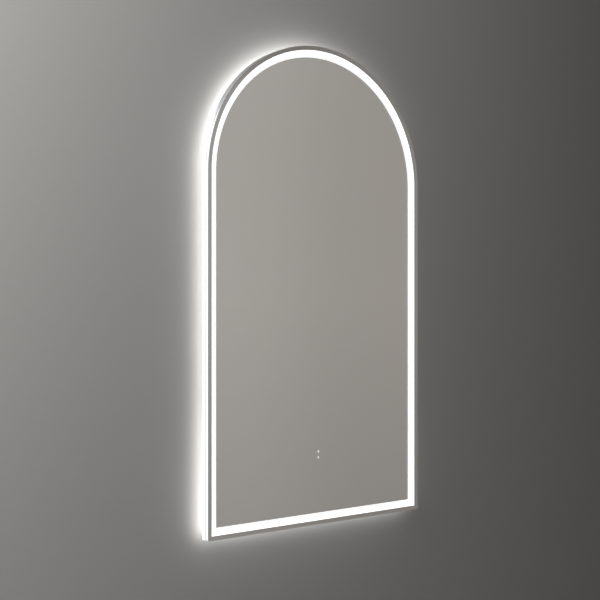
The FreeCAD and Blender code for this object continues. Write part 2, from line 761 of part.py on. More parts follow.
def demister_lead():
    pole = POLE_X[0]
    top = PAD_AT[1] + PAD_SIZE[1] / 2 - PATCH_DROP
    patch = SILVER_BACK + PAD_T + PATCH_T / 2
    return lead("demister_lead", LEAD_R,
                [(pole, WIRE_WAY_DEPTH, TERMINAL_AT[1] + 3), (pole, WIRE_WAY_DEPTH, top),
                 (36, WIRE_WAY_DEPTH, top), (24, patch, top), (13, patch, top)],
                [0, 5, 4, 4, 0])


def touch_lead():
    z = TOUCH_AT[1]
    return lead("touch_lead", LEAD_R,
                [(DRIVER_RIGHT - 3, LEAD_DEPTH, TOUCH_ENTRY_Z),
                 (TOUCH_LEAD_X, LEAD_DEPTH, TOUCH_ENTRY_Z),
                 (TOUCH_LEAD_X, LEAD_DEPTH, z), (60, TOUCH_LEAD_DEPTH, z),
                 (TOUCH_SIZE[0] / 2 - 3, TOUCH_LEAD_DEPTH, z)],
                [0, 14, 8, 12, 0])


def earth_lead():
    """Lead with a crimped eye on the earth stud."""
    pole = POLE_X[2]
    x, z = EARTH_AT
    run_z = -120.0
    level = (EYE_FRONT + EYE_BACK) / 2
    tube = lead("earth_lead", LEAD_R,
                [(pole, WIRE_WAY_DEPTH, TERMINAL_AT[1] + 3), (pole, WIRE_WAY_DEPTH, run_z),
                 (x - 20, WIRE_WAY_DEPTH, run_z), (x, level, run_z), (x, level, z + 7)],
                [0, 7, 7, 7, 0])
    eye = rod(x, z, 4.2, EYE_FRONT, EYE_BACK)
    tongue = block(x, z + 6, 3.2, 6, EYE_FRONT, EYE_BACK)
    barrel = Part.makeCylinder(1.5, 5, at(x, level, z + 7), V(0, 0, 1))
    eye = eye.fuse([tongue, barrel]).cut(rod(x, z, EARTH_R + 0.1, EYE_FRONT - 1, EYE_BACK + 1))
    return tube.fuse(eye)


def lead_clip(x, z, along):
    """Stick-on saddle round a lead. along is the lead's direction."""
    top = LEAD_DEPTH - LEAD_R - 1.0
    across = V(0, 0, 1) if along == "x" else V(1, 0, 0)
    base = block(x, z, 12, 12, FRAME_BACK - 1, FRAME_BACK, 2.0)
    size = (6.0, 4.2) if along == "x" else (4.2, 6.0)
    saddle = block(x, z, size[0], size[1], top, FRAME_BACK - 1, 1.0)
    axis = V(0, 1, 0).cross(across)
    start = at(x, LEAD_DEPTH, z) - axis * 8
    return base.fuse(saddle).cut(Part.makeCylinder(LEAD_R + 0.1, 16, start, axis))


def lead_clips():
    clips = [lead_clip(-145, FRONT_LEAD_HOLE[1], "x"), lead_clip(-165, REAR_LEAD_HOLE[1], "x")]
    clips += [lead_clip(TOUCH_LEAD_X, z, "z") for z in (-290.0, -390.0, -485.0)]
    return Part.makeCompound(clips)


# Rails: two Z sections that hook together. Their sections are (depth, z, corner radius) points.

def rail(points):
    corners = [at(-RAIL_LENGTH / 2, depth, z) for depth, z, _ in points]
    wire = rounded_path(corners, [radius for _, _, radius in points], closed=True)
    return Part.Face(wire).extrude(V(RAIL_LENGTH, 0, 0))


def mirror_hanger():
    leg_back = PANEL_BACK + RAIL_T
    lip_back = DEPTH - 0.9
    web_top = HOOK_UNDER + RAIL_T
    hanger = rail([(PANEL_BACK, 56, 0.4), (leg_back, 56, 0.4), (leg_back, web_top, 0.4),
                   (lip_back, web_top, 2.2), (lip_back, HOOK_TIP, 0.6),
                   (lip_back - RAIL_T, HOOK_TIP, 0.6), (lip_back - RAIL_T, HOOK_UNDER, 0.4),
                   (PANEL_BACK, HOOK_UNDER, 2.2)])
    for x in RIVET_X:
        hanger = hanger.cut(rod(x, RIVET_Z, RIVET_HOLE_R, PANEL_BACK - 1, leg_back + 1))
    return hanger


def wall_rail():
    leg_front = DEPTH - RAIL_T
    lip_front = DEPTH - 5.6
    web_top = 10.0
    shelf = web_top - RAIL_T
    piece = rail([(DEPTH, -14, 0.4), (leg_front, -14, 0.4), (leg_front, shelf, 0.4),
                  (lip_front, shelf, 2.2), (lip_front, RAIL_LIP_TOP, 0.6),
                  (lip_front + RAIL_T, RAIL_LIP_TOP, 0.6), (lip_front + RAIL_T, web_top, 0.4),
                  (DEPTH, web_top, 2.2)])
    for x in RAIL_HOLES_X:
        piece = piece.cut(rod(x, 0, RAIL_HOLE_R, leg_front - 1, DEPTH + 1))
    return piece


def hanger_rivets():
    """Blind rivets: a domed head on the hanger and a swollen tail inside the panel."""
    face = PANEL_BACK + RAIL_T
    body_r = RIVET_HOLE_R - 0.1
    tail = [(0, 25.2), (body_r, 25.2), (2.5, 25.9), (2.3, FRAME_BACK), (body_r, FRAME_BACK)]
    head = [(body_r, face), (3.3, face), (2.9, face + 0.8), (1.4, face + 1.2), (0, face + 1.2)]
    return Part.makeCompound([turned(x, RIVET_Z, tail + head) for x in RIVET_X])


PIECES = {
    "mirror_glass": mirror_glass,
    "rim_lens": rim_lens,
    "silver_rim": silver_rim,
    "silver_pane": silver_pane,
    "front_diffuser": front_diffuser,
    "bonding_tape": lambda: ring(26, 36, SILVER_BACK, FLANGE_FRONT),
    "arch_profile": arch_profile,
    "bottom_profile": lambda: drilled(sweep_bottom(frame_section())),
    "corner_key_left": lambda: corner_key(-1),
    "corner_key_right": lambda: corner_key(1),
    "corner_key_screws": corner_key_screws,
    "front_led_tape": lambda: cut_tape(FRONT_TAPE),
    "front_led_bead": lambda: cut_tape(BEAD),
    "rear_led_tape": lambda: cut_tape(REAR_TAPE),
    "rear_led_chips": rear_led_chips,
    "rear_diffuser_arch": lambda: sweep_arch(rear_diffuser_section()),
    "rear_diffuser_bottom": lambda: sweep_bottom(rear_diffuser_section()),
    "back_panel": back_panel,
    "panel_screws": panel_screws,
    "cable_grommet": cable_grommet,
    "wall_bumpers": wall_bumpers,
    "earth_stud": earth_stud,
    "earth_nut": earth_nut,
    "driver_case": driver_case,
    "driver_lid": driver_lid,
    "driver_board": driver_board,
    "driver_screws": driver_screws,
    "terminal_block": terminal_block,
    "terminal_screws": terminal_screws,
    "demister_pad": demister_pad,
    "touch_case": touch_case,
    "touch_board": touch_board,
    "touch_light_guides": touch_light_guides,
    "supply_lead": supply_lead,
    "front_led_lead": front_led_lead,
    "rear_led_lead": rear_led_lead,
    "demister_lead": demister_lead,
    "touch_lead": touch_lead,
    "earth_lead": earth_lead,
    "lead_clips": lead_clips,
    "mirror_hanger": mirror_hanger,
    "hanger_rivets": hanger_rivets,
    "wall_rail": wall_rail,
}

os.makedirs("parts", exist_ok=True)
for piece_name, make in PIECES.items():
    save(piece_name, make())
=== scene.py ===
# %% [markdown]
# # A lighted bathroom mirror
#
# The object is an arched pane of mirror glass with a raised rim, on a bent aluminium frame. One
# light shines forward round the edge of the silvering. A second one shines back onto the wall. The
# frame that is loaded here holds every piece at its real size. This lesson gives each piece its
# finish, models the pane and the small turned pieces again by hand, and lights the result.

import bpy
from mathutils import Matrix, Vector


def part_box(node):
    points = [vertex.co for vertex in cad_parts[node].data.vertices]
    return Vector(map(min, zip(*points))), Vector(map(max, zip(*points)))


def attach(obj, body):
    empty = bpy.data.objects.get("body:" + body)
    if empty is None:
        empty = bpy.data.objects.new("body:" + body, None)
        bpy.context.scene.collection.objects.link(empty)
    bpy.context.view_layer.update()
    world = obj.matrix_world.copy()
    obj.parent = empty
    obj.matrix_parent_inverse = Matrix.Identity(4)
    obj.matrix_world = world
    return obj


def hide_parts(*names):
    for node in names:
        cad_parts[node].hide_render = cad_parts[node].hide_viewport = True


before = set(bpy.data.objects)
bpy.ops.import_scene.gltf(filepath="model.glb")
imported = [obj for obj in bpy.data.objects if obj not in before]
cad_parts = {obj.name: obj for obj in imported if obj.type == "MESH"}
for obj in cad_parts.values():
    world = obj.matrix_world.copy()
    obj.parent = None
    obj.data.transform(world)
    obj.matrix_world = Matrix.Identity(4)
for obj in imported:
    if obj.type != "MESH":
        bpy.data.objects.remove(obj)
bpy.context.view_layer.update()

# %% [markdown]
# The frame comes with plain materials. They go first, so that the finishes made below can have
# their names.

# %% Clear the plain materials
import bpy

for plain in list(bpy.data.materials):
    bpy.data.materials.remove(plain)
print("materials left", len(bpy.data.materials))

# %% Units and the few sizes that the rest is worked out from
import math

import bmesh
from mathutils import Vector

MM = 0.001
glass_low, glass_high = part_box("mirror_glass")
ARCH_R = glass_high.x
BOTTOM = glass_low.z
GLASS_FRONT = glass_low.y
GLASS_BACK = glass_high.y
MIDDLE_Z = (glass_low.z + glass_high.z) / 2
print("arch radius", ARCH_R, "bottom", BOTTOM, "front of the glass", GLASS_FRONT)

# %% [markdown]
# ## The camera
#
# The picture is taken from the left of the mirror, about level with its middle, with a long lens
# and no tilt, so that upright lines stay upright. Its place and lens come from the mirror's corners
# in the picture. They could be found by eye, but a mirror's outline is flat and simple, so that
# the angle follows from the two bottom corners and the height.

# %% Camera
CAMERA_AT = (-1.2849, -1.6651, -0.2274)
CAMERA_TURN = math.radians(-37.262)
LENS = 65.845
SENSOR_WIDTH = 36.0

camera = bpy.data.objects.new("camera", bpy.data.cameras.new("camera"))
camera.data.lens = LENS
camera.data.sensor_width = SENSOR_WIDTH
camera.location = CAMERA_AT
camera.rotation_euler = (math.radians(90), 0, CAMERA_TURN)
bpy.context.scene.collection.objects.link(camera)
bpy.context.scene.camera = camera
bpy.context.scene.view_settings.view_transform = "Standard"
print("camera distance", round(Vector(CAMERA_AT).length, 3))

# %% [markdown]
# ## Helpers for nodes
#
# Every finish is a small tree of shader nodes. Made by hand they are dragged and wired in the
# Shader Editor. In code a helper adds one node with its settings and links its inputs, so that a
# finish reads as a recipe. The tree that is being made lies on the bench, and every node goes
# there, so that no step has to name it.

# %% Put nodes on the bench
bench = {"tree": None}


def connect(node, inputs):
    """Each input, by name or number, is linked to a socket or set to a value."""
    for label, value in inputs.items():
        if isinstance(value, bpy.types.NodeSocket):
            bench["tree"].links.new(value, node.inputs[label])
        else:
            node.inputs[label].default_value = value


def add_node(kind, inputs={}, **settings):
    """A node of this kind, on the bench."""
    node = bench["tree"].nodes.new(kind)
    for label, value in settings.items():
        setattr(node, label, value)
    connect(node, inputs)
    return node

# %% Sums
def maths(operation, *values):
    return add_node("ShaderNodeMath", dict(enumerate(values)), operation=operation).outputs[0]


def times(first, second):
    return maths("MULTIPLY", first, second)


def plus(first, second):
    return maths("ADD", first, second)


def minus(first, second):
    return maths("SUBTRACT", first, second)


def flip(mask):
    return minus(1.0, mask)


def spread(mask, low, high, start=0.0, end=1.0):
    """The mask from start to end becomes a value from low to high."""
    ends = {"Value": mask, "From Min": start, "From Max": end, "To Min": low, "To Max": high}
    return add_node("ShaderNodeMapRange", ends).outputs["Result"]

# %% Where a point is, and which way it faces
def object_point():
    return add_node("ShaderNodeTexCoord").outputs["Object"]


def surface_normal():
    return add_node("ShaderNodeNewGeometry").outputs["Normal"]


def axes(vector):
    return add_node("ShaderNodeSeparateXYZ", {0: vector}).outputs

# %% Colours
def mix_colours(mask, first, second):
    inputs = {0: mask, 6: first, 7: second}
    return add_node("ShaderNodeMix", inputs, data_type="RGBA").outputs[2]


def grey(level, warmth=0.0):
    """A grey as a colour, a little warmer or cooler."""
    return (level * (1 + warmth), level, level * (1 - warmth), 1.0)


def greys(mask, low, high, warmth=0.0):
    return mix_colours(mask, grey(low, warmth), grey(high, warmth))

# %% Rays that see a surface
def seen_directly():
    """One for rays from the camera, a mirror or glass, and zero for those that light matt faces."""
    path = add_node("ShaderNodeLightPath").outputs
    seen = maths("MAXIMUM", path["Is Camera Ray"], path["Is Glossy Ray"])
    return maths("MAXIMUM", seen, path["Is Transmission Ray"])

# %% [markdown]
# ## Node groups for effects
#
# Several finishes need the same effect, such as a gentle mottle or a fine grain. A node group
# holds the effect once, with named inputs, and each finish places it with its own values.

# %% Make and place a group
SOCKET_KINDS = {float: "NodeSocketFloat", tuple: "NodeSocketVector"}


def new_group(name, inputs, outputs):
    """A node group with inputs by name and default, and outputs by name and kind."""
    tree = bpy.data.node_groups.new(name, "ShaderNodeTree")
    for label, default in inputs.items():
        kind = SOCKET_KINDS[type(default)]
        socket = tree.interface.new_socket(name=label, in_out="INPUT", socket_type=kind)
        socket.default_value = default
    for label, kind in outputs.items():
        tree.interface.new_socket(name=label, in_out="OUTPUT", socket_type="NodeSocket" + kind)
    bench["tree"] = tree
    print("group", name, "takes", *inputs, "and gives", *outputs)
    return tree, add_node("NodeGroupInput").outputs, add_node("NodeGroupOutput")


def place_group(group, **inputs):
    named = {label.capitalize(): value for label, value in inputs.items()}
    return add_node("ShaderNodeGroup", named, node_tree=group).outputs

# %% [markdown]
# The first group unrolls the frame. The mirror's outline is two straight legs, half a circle and
# a straight bottom, and the extrusion, the light tapes and the covers all follow it. So the group
# turns a point into its inset from the edge of the glass, its way along the outline and its depth.
# A pattern on those three follows the bend as the real die lines do.

# %% Group: outline coordinates
def outline_coordinates():
    gives = {"Inset": "Float", "Along": "Float", "Unrolled": "Vector"}
    tree, _, result = new_group("Outline coordinates", {}, gives)
    x, y, z = axes(object_point())
    out = maths("ABSOLUTE", x)
    up = maths("MAXIMUM", z, 0.0)
    radius = maths("SQRT", plus(times(out, out), times(up, up)))
    side_inset = minus(ARCH_R, radius)
    low_inset = minus(z, BOTTOM)
    arc = times(maths("ARCTAN2", up, out), ARCH_R)
    side_along = plus(arc, maths("MINIMUM", z, 0.0))
    on_bottom = maths("LESS_THAN", low_inset, side_inset)
    on_side = flip(on_bottom)
    inset = maths("MINIMUM", low_inset, side_inset)
    along = plus(times(on_bottom, x), times(on_side, side_along))
    unrolled = add_node("ShaderNodeCombineXYZ", {0: inset, 1: along, 2: y}).outputs[0]
    connect(result, {"Inset": inset, "Along": along, "Unrolled": unrolled})
    return tree


OUTLINE = outline_coordinates()

# %% [markdown]
# The side of the mirror is lit from inside along its two legs, and painted shade darkens it where
# the side turns over the arch. The group gives that level of glow and painted shade from the way
# along the outline, counted from the foot of the arch. It is full on the legs, falls smoothly to
# the shoulder of the arch, and then slowly on to the top. It is used by every piece that shows at
# the side.

# %% Group: side light with painted shade
LIT_UNTIL = 62 * MM
SHOULDER = 150 * MM
ARCH_END = 240 * MM
SHOULDER_LEVEL = 0.24
TOP_SHARE = 0.35


def side_glow_painted_shade():
    tree, _, result = new_group("Side glow with painted shade", {}, {"Level": "Float"})
    along = place_group(OUTLINE)["Along"]
    ends = {"Value": along, "From Min": LIT_UNTIL, "From Max": SHOULDER, "To Min": 1.0,
            "To Max": SHOULDER_LEVEL}
    early = add_node("ShaderNodeMapRange", ends, interpolation_type="SMOOTHSTEP").outputs["Result"]
    late = spread(along, 1.0, TOP_SHARE, SHOULDER, ARCH_END)
    # Painted shade: the level falls from full on the legs to about a third at the top of the arch.
    connect(result, {"Level": times(early, late)})
    return tree


SIDE_GLOW_PAINTED_SHADE = side_glow_painted_shade()

# %% [markdown]
# Mottle is the slow, cloudy change that any real surface has in tone and gloss. Two noises of
# different scale are added, so that neither looks like a repeat.

# %% Group: mottle
FINER = 6.3
BROAD_SHARE = 0.65
GAIN = 2.5


def noise(point, scale, detail):
    inputs = {"Vector": point, "Scale": scale, "Detail": detail}
    return add_node("ShaderNodeTexNoise", inputs).outputs[0]


def mottle():
    tree, given, result = new_group("Mottle", {"Scale": 20.0, "Contrast": 1.0}, {"Mask": "Float"})
    point = object_point()
    broad = noise(point, given["Scale"], 3.0)
    fine = noise(point, times(given["Scale"], FINER), 4.0)
    both = plus(times(broad, BROAD_SHARE), times(fine, 1 - BROAD_SHARE))
    centred = times(minus(both, 0.5), given["Contrast"])
    strong = times(centred, GAIN)
    mask = add_node("ShaderNodeClamp", {0: plus(strong, 0.5)}).outputs[0]
    connect(result, {"Mask": mask})
    return tree


MOTTLE = mottle()


def mottled(scale, contrast=1.0):
    return place_group(MOTTLE, scale=scale, contrast=contrast)["Mask"]

# %% [markdown]
# Grain is the fine relief of moulded plastic, rubber and powder coat. It is a bump made from
# noise, with its real height in metres. It could be true displacement, but its height is a few
# hundredths of a millimetre, which only ever shows as a change in gloss.

# %% Group: grain
def raised(mask, height):
    return add_node("ShaderNodeBump", {"Height": mask, "Distance": height}).outputs[0]


def grain():
    tree, given, result = new_group("Grain", {"Scale": 2000.0, "Height": 0.02 * MM},
                                    {"Normal": "Vector"})
    bumps = noise(object_point(), given["Scale"], 2.0)
    connect(result, {"Normal": raised(bumps, given["Height"])})
    return tree


GRAIN = grain()


def grained(scale, height):
    return place_group(GRAIN, scale=scale, height=height)["Normal"]

# %% [markdown]
# Drawn lines are the fine parallel streaks of a rolled sheet or an extruded bar. The group takes
# coordinates that are squeezed along the way the metal was drawn, so that the noise stretches
# into lines. It gives a mask for gloss and a normal for the relief.

# %% Group: drawn lines
def vector_maths(operation, inputs):
    return add_node("ShaderNodeVectorMath", inputs, operation=operation).outputs[0]


def drawn_lines():
    takes = {"Coordinates": (0.0, 0.0, 0.0), "Squeeze": (1.0, 0.01, 1.0), "Scale": 2500.0,
             "Height": 0.006 * MM}
    tree, given, result = new_group("Drawn lines", takes, {"Mask": "Float", "Normal": "Vector"})
    squeezed = vector_maths("MULTIPLY", {0: given["Coordinates"], 1: given["Squeeze"]})
    lines = noise(squeezed, given["Scale"], 4.0)
    mask = spread(lines, 0.0, 1.0, 0.3, 0.7)
    connect(result, {"Mask": mask, "Normal": raised(mask, given["Height"])})
    return tree


DRAWN = drawn_lines()


def drawn(point, squeeze, scale, height=0.006 * MM):
    return place_group(DRAWN, coordinates=point, squeeze=squeeze, scale=scale, height=height)

# %% [markdown]
# Edges of sheet metal and plastic catch the light, because the finish is thinner or rubbed there.
# The Bevel node gives a rounded normal near an edge, and where that differs from the true normal
# the mask rises. A painted mask would do the same, but it would have to be painted for each piece.

# %% Group: edges
def edges():
    tree, given, result = new_group("Edges", {"Width": 0.4 * MM}, {"Mask": "Float"})
    rounded = add_node("ShaderNodeBevel", {"Radius": given["Width"]}, samples=4).outputs[0]
    true = surface_normal()
    agree = add_node("ShaderNodeVectorMath", {0: rounded, 1: true}, operation="DOT_PRODUCT")
    connect(result, {"Mask": spread(agree.outputs["Value"], 1.0, 0.0, 0.85, 0.995)})
    return tree


EDGES = edges()


def worn_edge(width):
    return place_group(EDGES, width=width)["Mask"]

# %% [markdown]
# ## A finish for each material of the record
#
# A finish starts from one Principled shader. What changes over the surface comes from the groups,
# and what is the same all over is set on the shader itself.

# %% Start a finish, and put it on nodes
def new_finish(name):
    material = bpy.data.materials.new(name)
    material.use_nodes = True
    bench["tree"] = material.node_tree
    return material


def main_shader(material):
    return material.node_tree.nodes["Principled BSDF"]


def feed(material, **inputs):
    """Link or set the shader's inputs. Base_Color stands for Base Color."""
    connect(main_shader(material), {label.replace("_", " "): inputs[label] for label in inputs})
    return material


def put_on(material, *names):
    for name in names:
        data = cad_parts[name].data
        data.materials.clear()
        data.materials.append(material)
    print(material.name, "on", ", ".join(names))

# %% [markdown]
# ### Clear glass
#
# Float glass is nearly colourless through its face and green through its edge, where light has
# come a long way inside it. The face is polished and the edge is ground and polished, a little
# less smooth. Light is bent and mirrored by the shader. Over the arch the edge's tint is painted
# darker with the side level, a painted shade; the lamps in the frame light it from behind along
# the legs only.

# %% Clear glass
def clear_glass():
    material = new_finish("clear_glass")
    facing = maths("ABSOLUTE", axes(surface_normal())[1])
    edge = spread(facing, 1.0, 0.0, 0.2, 0.95)
    cloud = mottled(9.0)
    face_tint = mix_colours(cloud, (0.975, 0.99, 0.98, 1), (0.985, 0.995, 0.99, 1))
    painted_side_level = place_group(SIDE_GLOW_PAINTED_SHADE)["Level"]
    # Painted shade: the edge's tint goes to black where the side level falls over the arch.
    edge_tint_painted_shade = mix_colours(times(painted_side_level, painted_side_level), grey(0.0), (0.92, 0.97, 0.95, 1))
    tint = mix_colours(edge, face_tint, edge_tint_painted_shade)
    return feed(material, Base_Color=tint, Roughness=spread(edge, 0.0, 0.12), IOR=1.52,
                Transmission_Weight=1.0)


CLEAR_GLASS = clear_glass()

# %% [markdown]
# ### Silvering
#
# A mirror's silver is a film on the back of the glass, under a coat of grey paint. The piece has
# a real thickness here, so its front is bright metal and its sides and back are paint.

# %% Silvering
SILVER_TONE = 0.90
SILVER_WARMTH = 0.004


def silvering():
    material = new_finish("silvering")
    plain = surface_normal()
    front = maths("LESS_THAN", axes(plain)[1], -0.5)
    film = greys(mottled(2.5, 0.6), SILVER_TONE * 0.99, SILVER_TONE, SILVER_WARMTH)
    paint = greys(mottled(160.0), 0.20, 0.26, -0.04)
    orange_peel = grained(700.0, 0.02 * MM)
    relief = add_node("ShaderNodeMix", {0: front, 4: orange_peel, 5: plain},
                      data_type="VECTOR").outputs[1]
    return feed(material, Base_Color=mix_colours(front, paint, film), Metallic=front,
                Roughness=spread(front, 0.55, 0.0), Normal=relief)


put_on(silvering(), "silver_pane")

# %% [markdown]
# ### Bright strip on the rim
#
# The rim's sloping face carries a strip of bright rolled aluminium. It mirrors the room a little
# darker than the silvering does, and its rolling lines follow the rim round the arch.

# %% Bright strip
RIM_TONE = 0.60


def rim_bright():
    material = new_finish("rim_bright")
    unrolled = place_group(OUTLINE)["Unrolled"]
    lines = drawn(unrolled, (1.0, 0.004, 1.0), 1800.0, 0.0015 * MM)
    bright = greys(mottled(12.0, 0.8), RIM_TONE * 0.97, RIM_TONE, 0.01)
    streak = times(lines["Mask"], 0.3)
    colour = mix_colours(streak, bright, grey(RIM_TONE * 0.9, 0.01))
    return feed(material, Base_Color=colour, Metallic=1.0, Normal=lines["Normal"],
                Roughness=spread(lines["Mask"], 0.05, 0.10))


put_on(rim_bright(), "silver_rim")

# %% [markdown]
# ### Opal acrylic in front
#
# The strip in front of the first light and the body of the rim are opal acrylic, which scatters
# the light of the lamps behind it into one even white. It could be a translucent shader with lamps
# behind, but the lamps' light would need thousands of samples. A gentle glow in the material looks
# the same, with the faint waves in brightness that the lamps leave. The outer wall of the rim
# takes the side level, so over the arch its colour and glow have painted shade. Its first three
# millimetres have a painted shadow, darker still, under the bright strip that folds over them.

# %% Opal acrylic in front
FRONT_GLOW = 0.68
FRONT_PITCH = 50 * MM
OUTER_SKIN = 0.3 * MM
RIM_FOLD = GLASS_FRONT - 1.8 * MM
FOLD_PAINTED_SHADOW_SHARE = 0.30


def lamp_waves(unrolled, pitch, height):
    """The brightness rises and falls along the outline, once for each lamp."""
    wave = maths("SINE", times(unrolled["Along"], 2 * math.pi / pitch))
    return spread(wave, 0.0, height, -1.0, 1.0)


def opal_front():
    material = new_finish("opal_front")
    unrolled = place_group(OUTLINE)
    cloud = mottled(14.0)
    waves = lamp_waves(unrolled, FRONT_PITCH, 0.4)
    bright = plus(waves, times(cloud, 0.6))
    glow = mix_colours(bright, (0.97, 0.975, 0.98, 1), (1, 1, 1, 1))
    body = greys(cloud, 0.80, 0.86, -0.01)
    outer = maths("LESS_THAN", unrolled["Inset"], OUTER_SKIN)
    under_fold_painted_shadow = maths("LESS_THAN", axes(unrolled["Unrolled"])[2], RIM_FOLD)
    painted_side_level = place_group(SIDE_GLOW_PAINTED_SHADE)["Level"]
    painted_side_level = times(painted_side_level, spread(under_fold_painted_shadow, 1.0, FOLD_PAINTED_SHADOW_SHARE))
    # Painted shade: the outer wall's colour and glow go to black over the arch, with a painted
    # shadow under the fold.
    dark = times(outer, flip(painted_side_level))
    return feed(material, Base_Color=mix_colours(dark, body, grey(0.0)),
                Roughness=spread(cloud, 0.42, 0.5), Emission_Strength=FRONT_GLOW,
                Emission_Color=mix_colours(dark, glow, grey(0.0)))


put_on(opal_front(), "front_diffuser", "rim_lens")

# %% [markdown]
# ### Opal acrylic at the back
#
# The rear covers throw most of their light on the wall, from the slanted face that the lamps shine
# on. Seen straight, they are white, and more light would only clip. Their skirt takes the side
# level, so over the arch its colour and glow have painted shade, and faces that are turned to the
# back have painted shade in their glow, so that their form shows. The rays that light the wall
# read a higher strength, a dark skirt and more light towards the top and bottom of the mirror, so
# that the halo is as bright and as narrow as it is in the picture. A Light Path node in the
# material tells the two apart.

# %% Opal acrylic at the back
REAR_SEEN = 0.62
REAR_LIGHT = 14.5
SKIRT_PAINTED_SHADE_FULL = GLASS_FRONT + 12 * MM
SKIRT_PAINTED_SHADE_GONE = GLASS_FRONT + 16 * MM
LIGHT_FROM = GLASS_FRONT + 12 * MM
COVER_BACK = GLASS_FRONT + 24.7 * MM
REAR_PITCH = 25 * MM
BACK_PAINTED_SHADE = 0.72
MIDDLE_SHARE = 0.55
MIDDLE_HALF = 200 * MM
ENDS_FROM = 450 * MM


def opal_rear():
    material = new_finish("opal_rear")
    unrolled = place_group(OUTLINE)
    depth = axes(unrolled["Unrolled"])[2]
    far = spread(depth, 0.0, 1.0, LIGHT_FROM, COVER_BACK)
    cloud = mottled(20.0)
    waves = lamp_waves(unrolled, REAR_PITCH, 0.35)
    bright = plus(waves, times(far, 0.65))
    white = mix_colours(bright, (0.90, 0.915, 0.94, 1), (1, 1, 1, 1))
    body = greys(cloud, 0.80, 0.87, -0.01)
    seen = seen_directly()
    height = axes(object_point())[2]
    off_middle = maths("ABSOLUTE", minus(height, MIDDLE_Z))
    ends = spread(off_middle, MIDDLE_SHARE, 1.0, MIDDLE_HALF, ENDS_FROM)
    thrown = mix_colours(times(far, ends), grey(0.02), (0.98, 0.99, 1.0, 1))
    painted_side_level = place_group(SIDE_GLOW_PAINTED_SHADE)["Level"]
    # Painted shade: the skirt's front part goes dark over the arch, and faces turned to the back
    # glow less.
    front_part = spread(depth, 1.0, 0.0, SKIRT_PAINTED_SHADE_FULL, SKIRT_PAINTED_SHADE_GONE)
    dark = times(front_part, flip(painted_side_level))
    turned_back = axes(surface_normal())[1]
    back_painted_shade = spread(turned_back, 0.0, BACK_PAINTED_SHADE, 0.2, 0.6)
    shown = mix_colours(maths("MAXIMUM", dark, back_painted_shade), white, grey(0.0))
    glow = mix_colours(seen, thrown, shown)
    return feed(material, Base_Color=mix_colours(dark, body, grey(0.0)),
                Roughness=spread(cloud, 0.4, 0.5), Normal=grained(1500.0, 0.008 * MM),
                Emission_Color=glow, Emission_Strength=spread(seen, REAR_LIGHT, REAR_SEEN))


put_on(opal_rear(), "rear_diffuser_arch", "rear_diffuser_bottom")

# %% [markdown]
# ### Anodised aluminium
#
# The frame is one extruded section, bent to the arch and anodised in its natural silver. The die
# leaves fine lines along the bar, which follow the bend. So the lines are drawn on the unrolled
# coordinates, and a slow mottle changes the gloss as the anodising does.

# %% Anodised aluminium
def anodised():
    material = new_finish("anodised")
    unrolled = place_group(OUTLINE)["Unrolled"]
    lines = drawn(unrolled, (1.0, 0.006, 1.0), 2600.0, 0.005 * MM)
    cloud = mottled(18.0)
    satin = greys(lines["Mask"], 0.70, 0.79, 0.004)
    colour = mix_colours(worn_edge(0.3 * MM), satin, grey(0.88))
    gloss = plus(spread(lines["Mask"], 0.30, 0.38), times(cloud, 0.08))
    return feed(material, Base_Color=colour, Metallic=1.0, Roughness=gloss, Normal=lines["Normal"])


ANODISED = anodised()
put_on(ANODISED, "arch_profile", "bottom_profile")

# %% [markdown]
# ### Powder coat
#
# The back panel is steel sheet under an off-white powder coat. The powder melts into a fine
# leather-like texture, a little thicker in one place than in another. It is thin on the punched
# edges, where the grey of the steel comes through, and handling leaves a few faint scuffs. The
# texture is a bump with its real height, because it is far finer than the sheet's thickness.

# %% Powder coat
def powder_coat():
    material = new_finish("panel_steel")
    cloud = mottled(6.0)
    speckle = mottled(260.0)
    edge = worn_edge(0.6 * MM)
    rubs = drawn(object_point(), (0.12, 1.0, 1.0), 70.0)["Mask"]
    scuff = spread(times(rubs, cloud), 0.0, 0.4, 0.62, 0.82)
    coat = greys(cloud, 0.62, 0.70, 0.014)
    coat = mix_colours(times(speckle, 0.22), coat, grey(0.48, 0.014))
    coat = mix_colours(scuff, coat, grey(0.46))
    colour = mix_colours(times(edge, 0.6), coat, grey(0.38))
    rough = minus(spread(speckle, 0.46, 0.60), times(scuff, 0.25))
    return feed(material, Base_Color=colour, Roughness=rough, Normal=grained(1100.0, 0.07 * MM))


put_on(powder_coat(), "back_panel")

# %% [markdown]
# ### Galvanised sheet
#
# The two rails are folded from steel sheet with a hot-dip zinc coat. The zinc freezes in small
# crystals, so each spangle has its own tone and gloss with feathered borders. Cells of a Voronoi
# texture, pushed about by noise, give the crystals. The sheet is rolled flat before it is folded,
# which leaves faint lines along the rails.

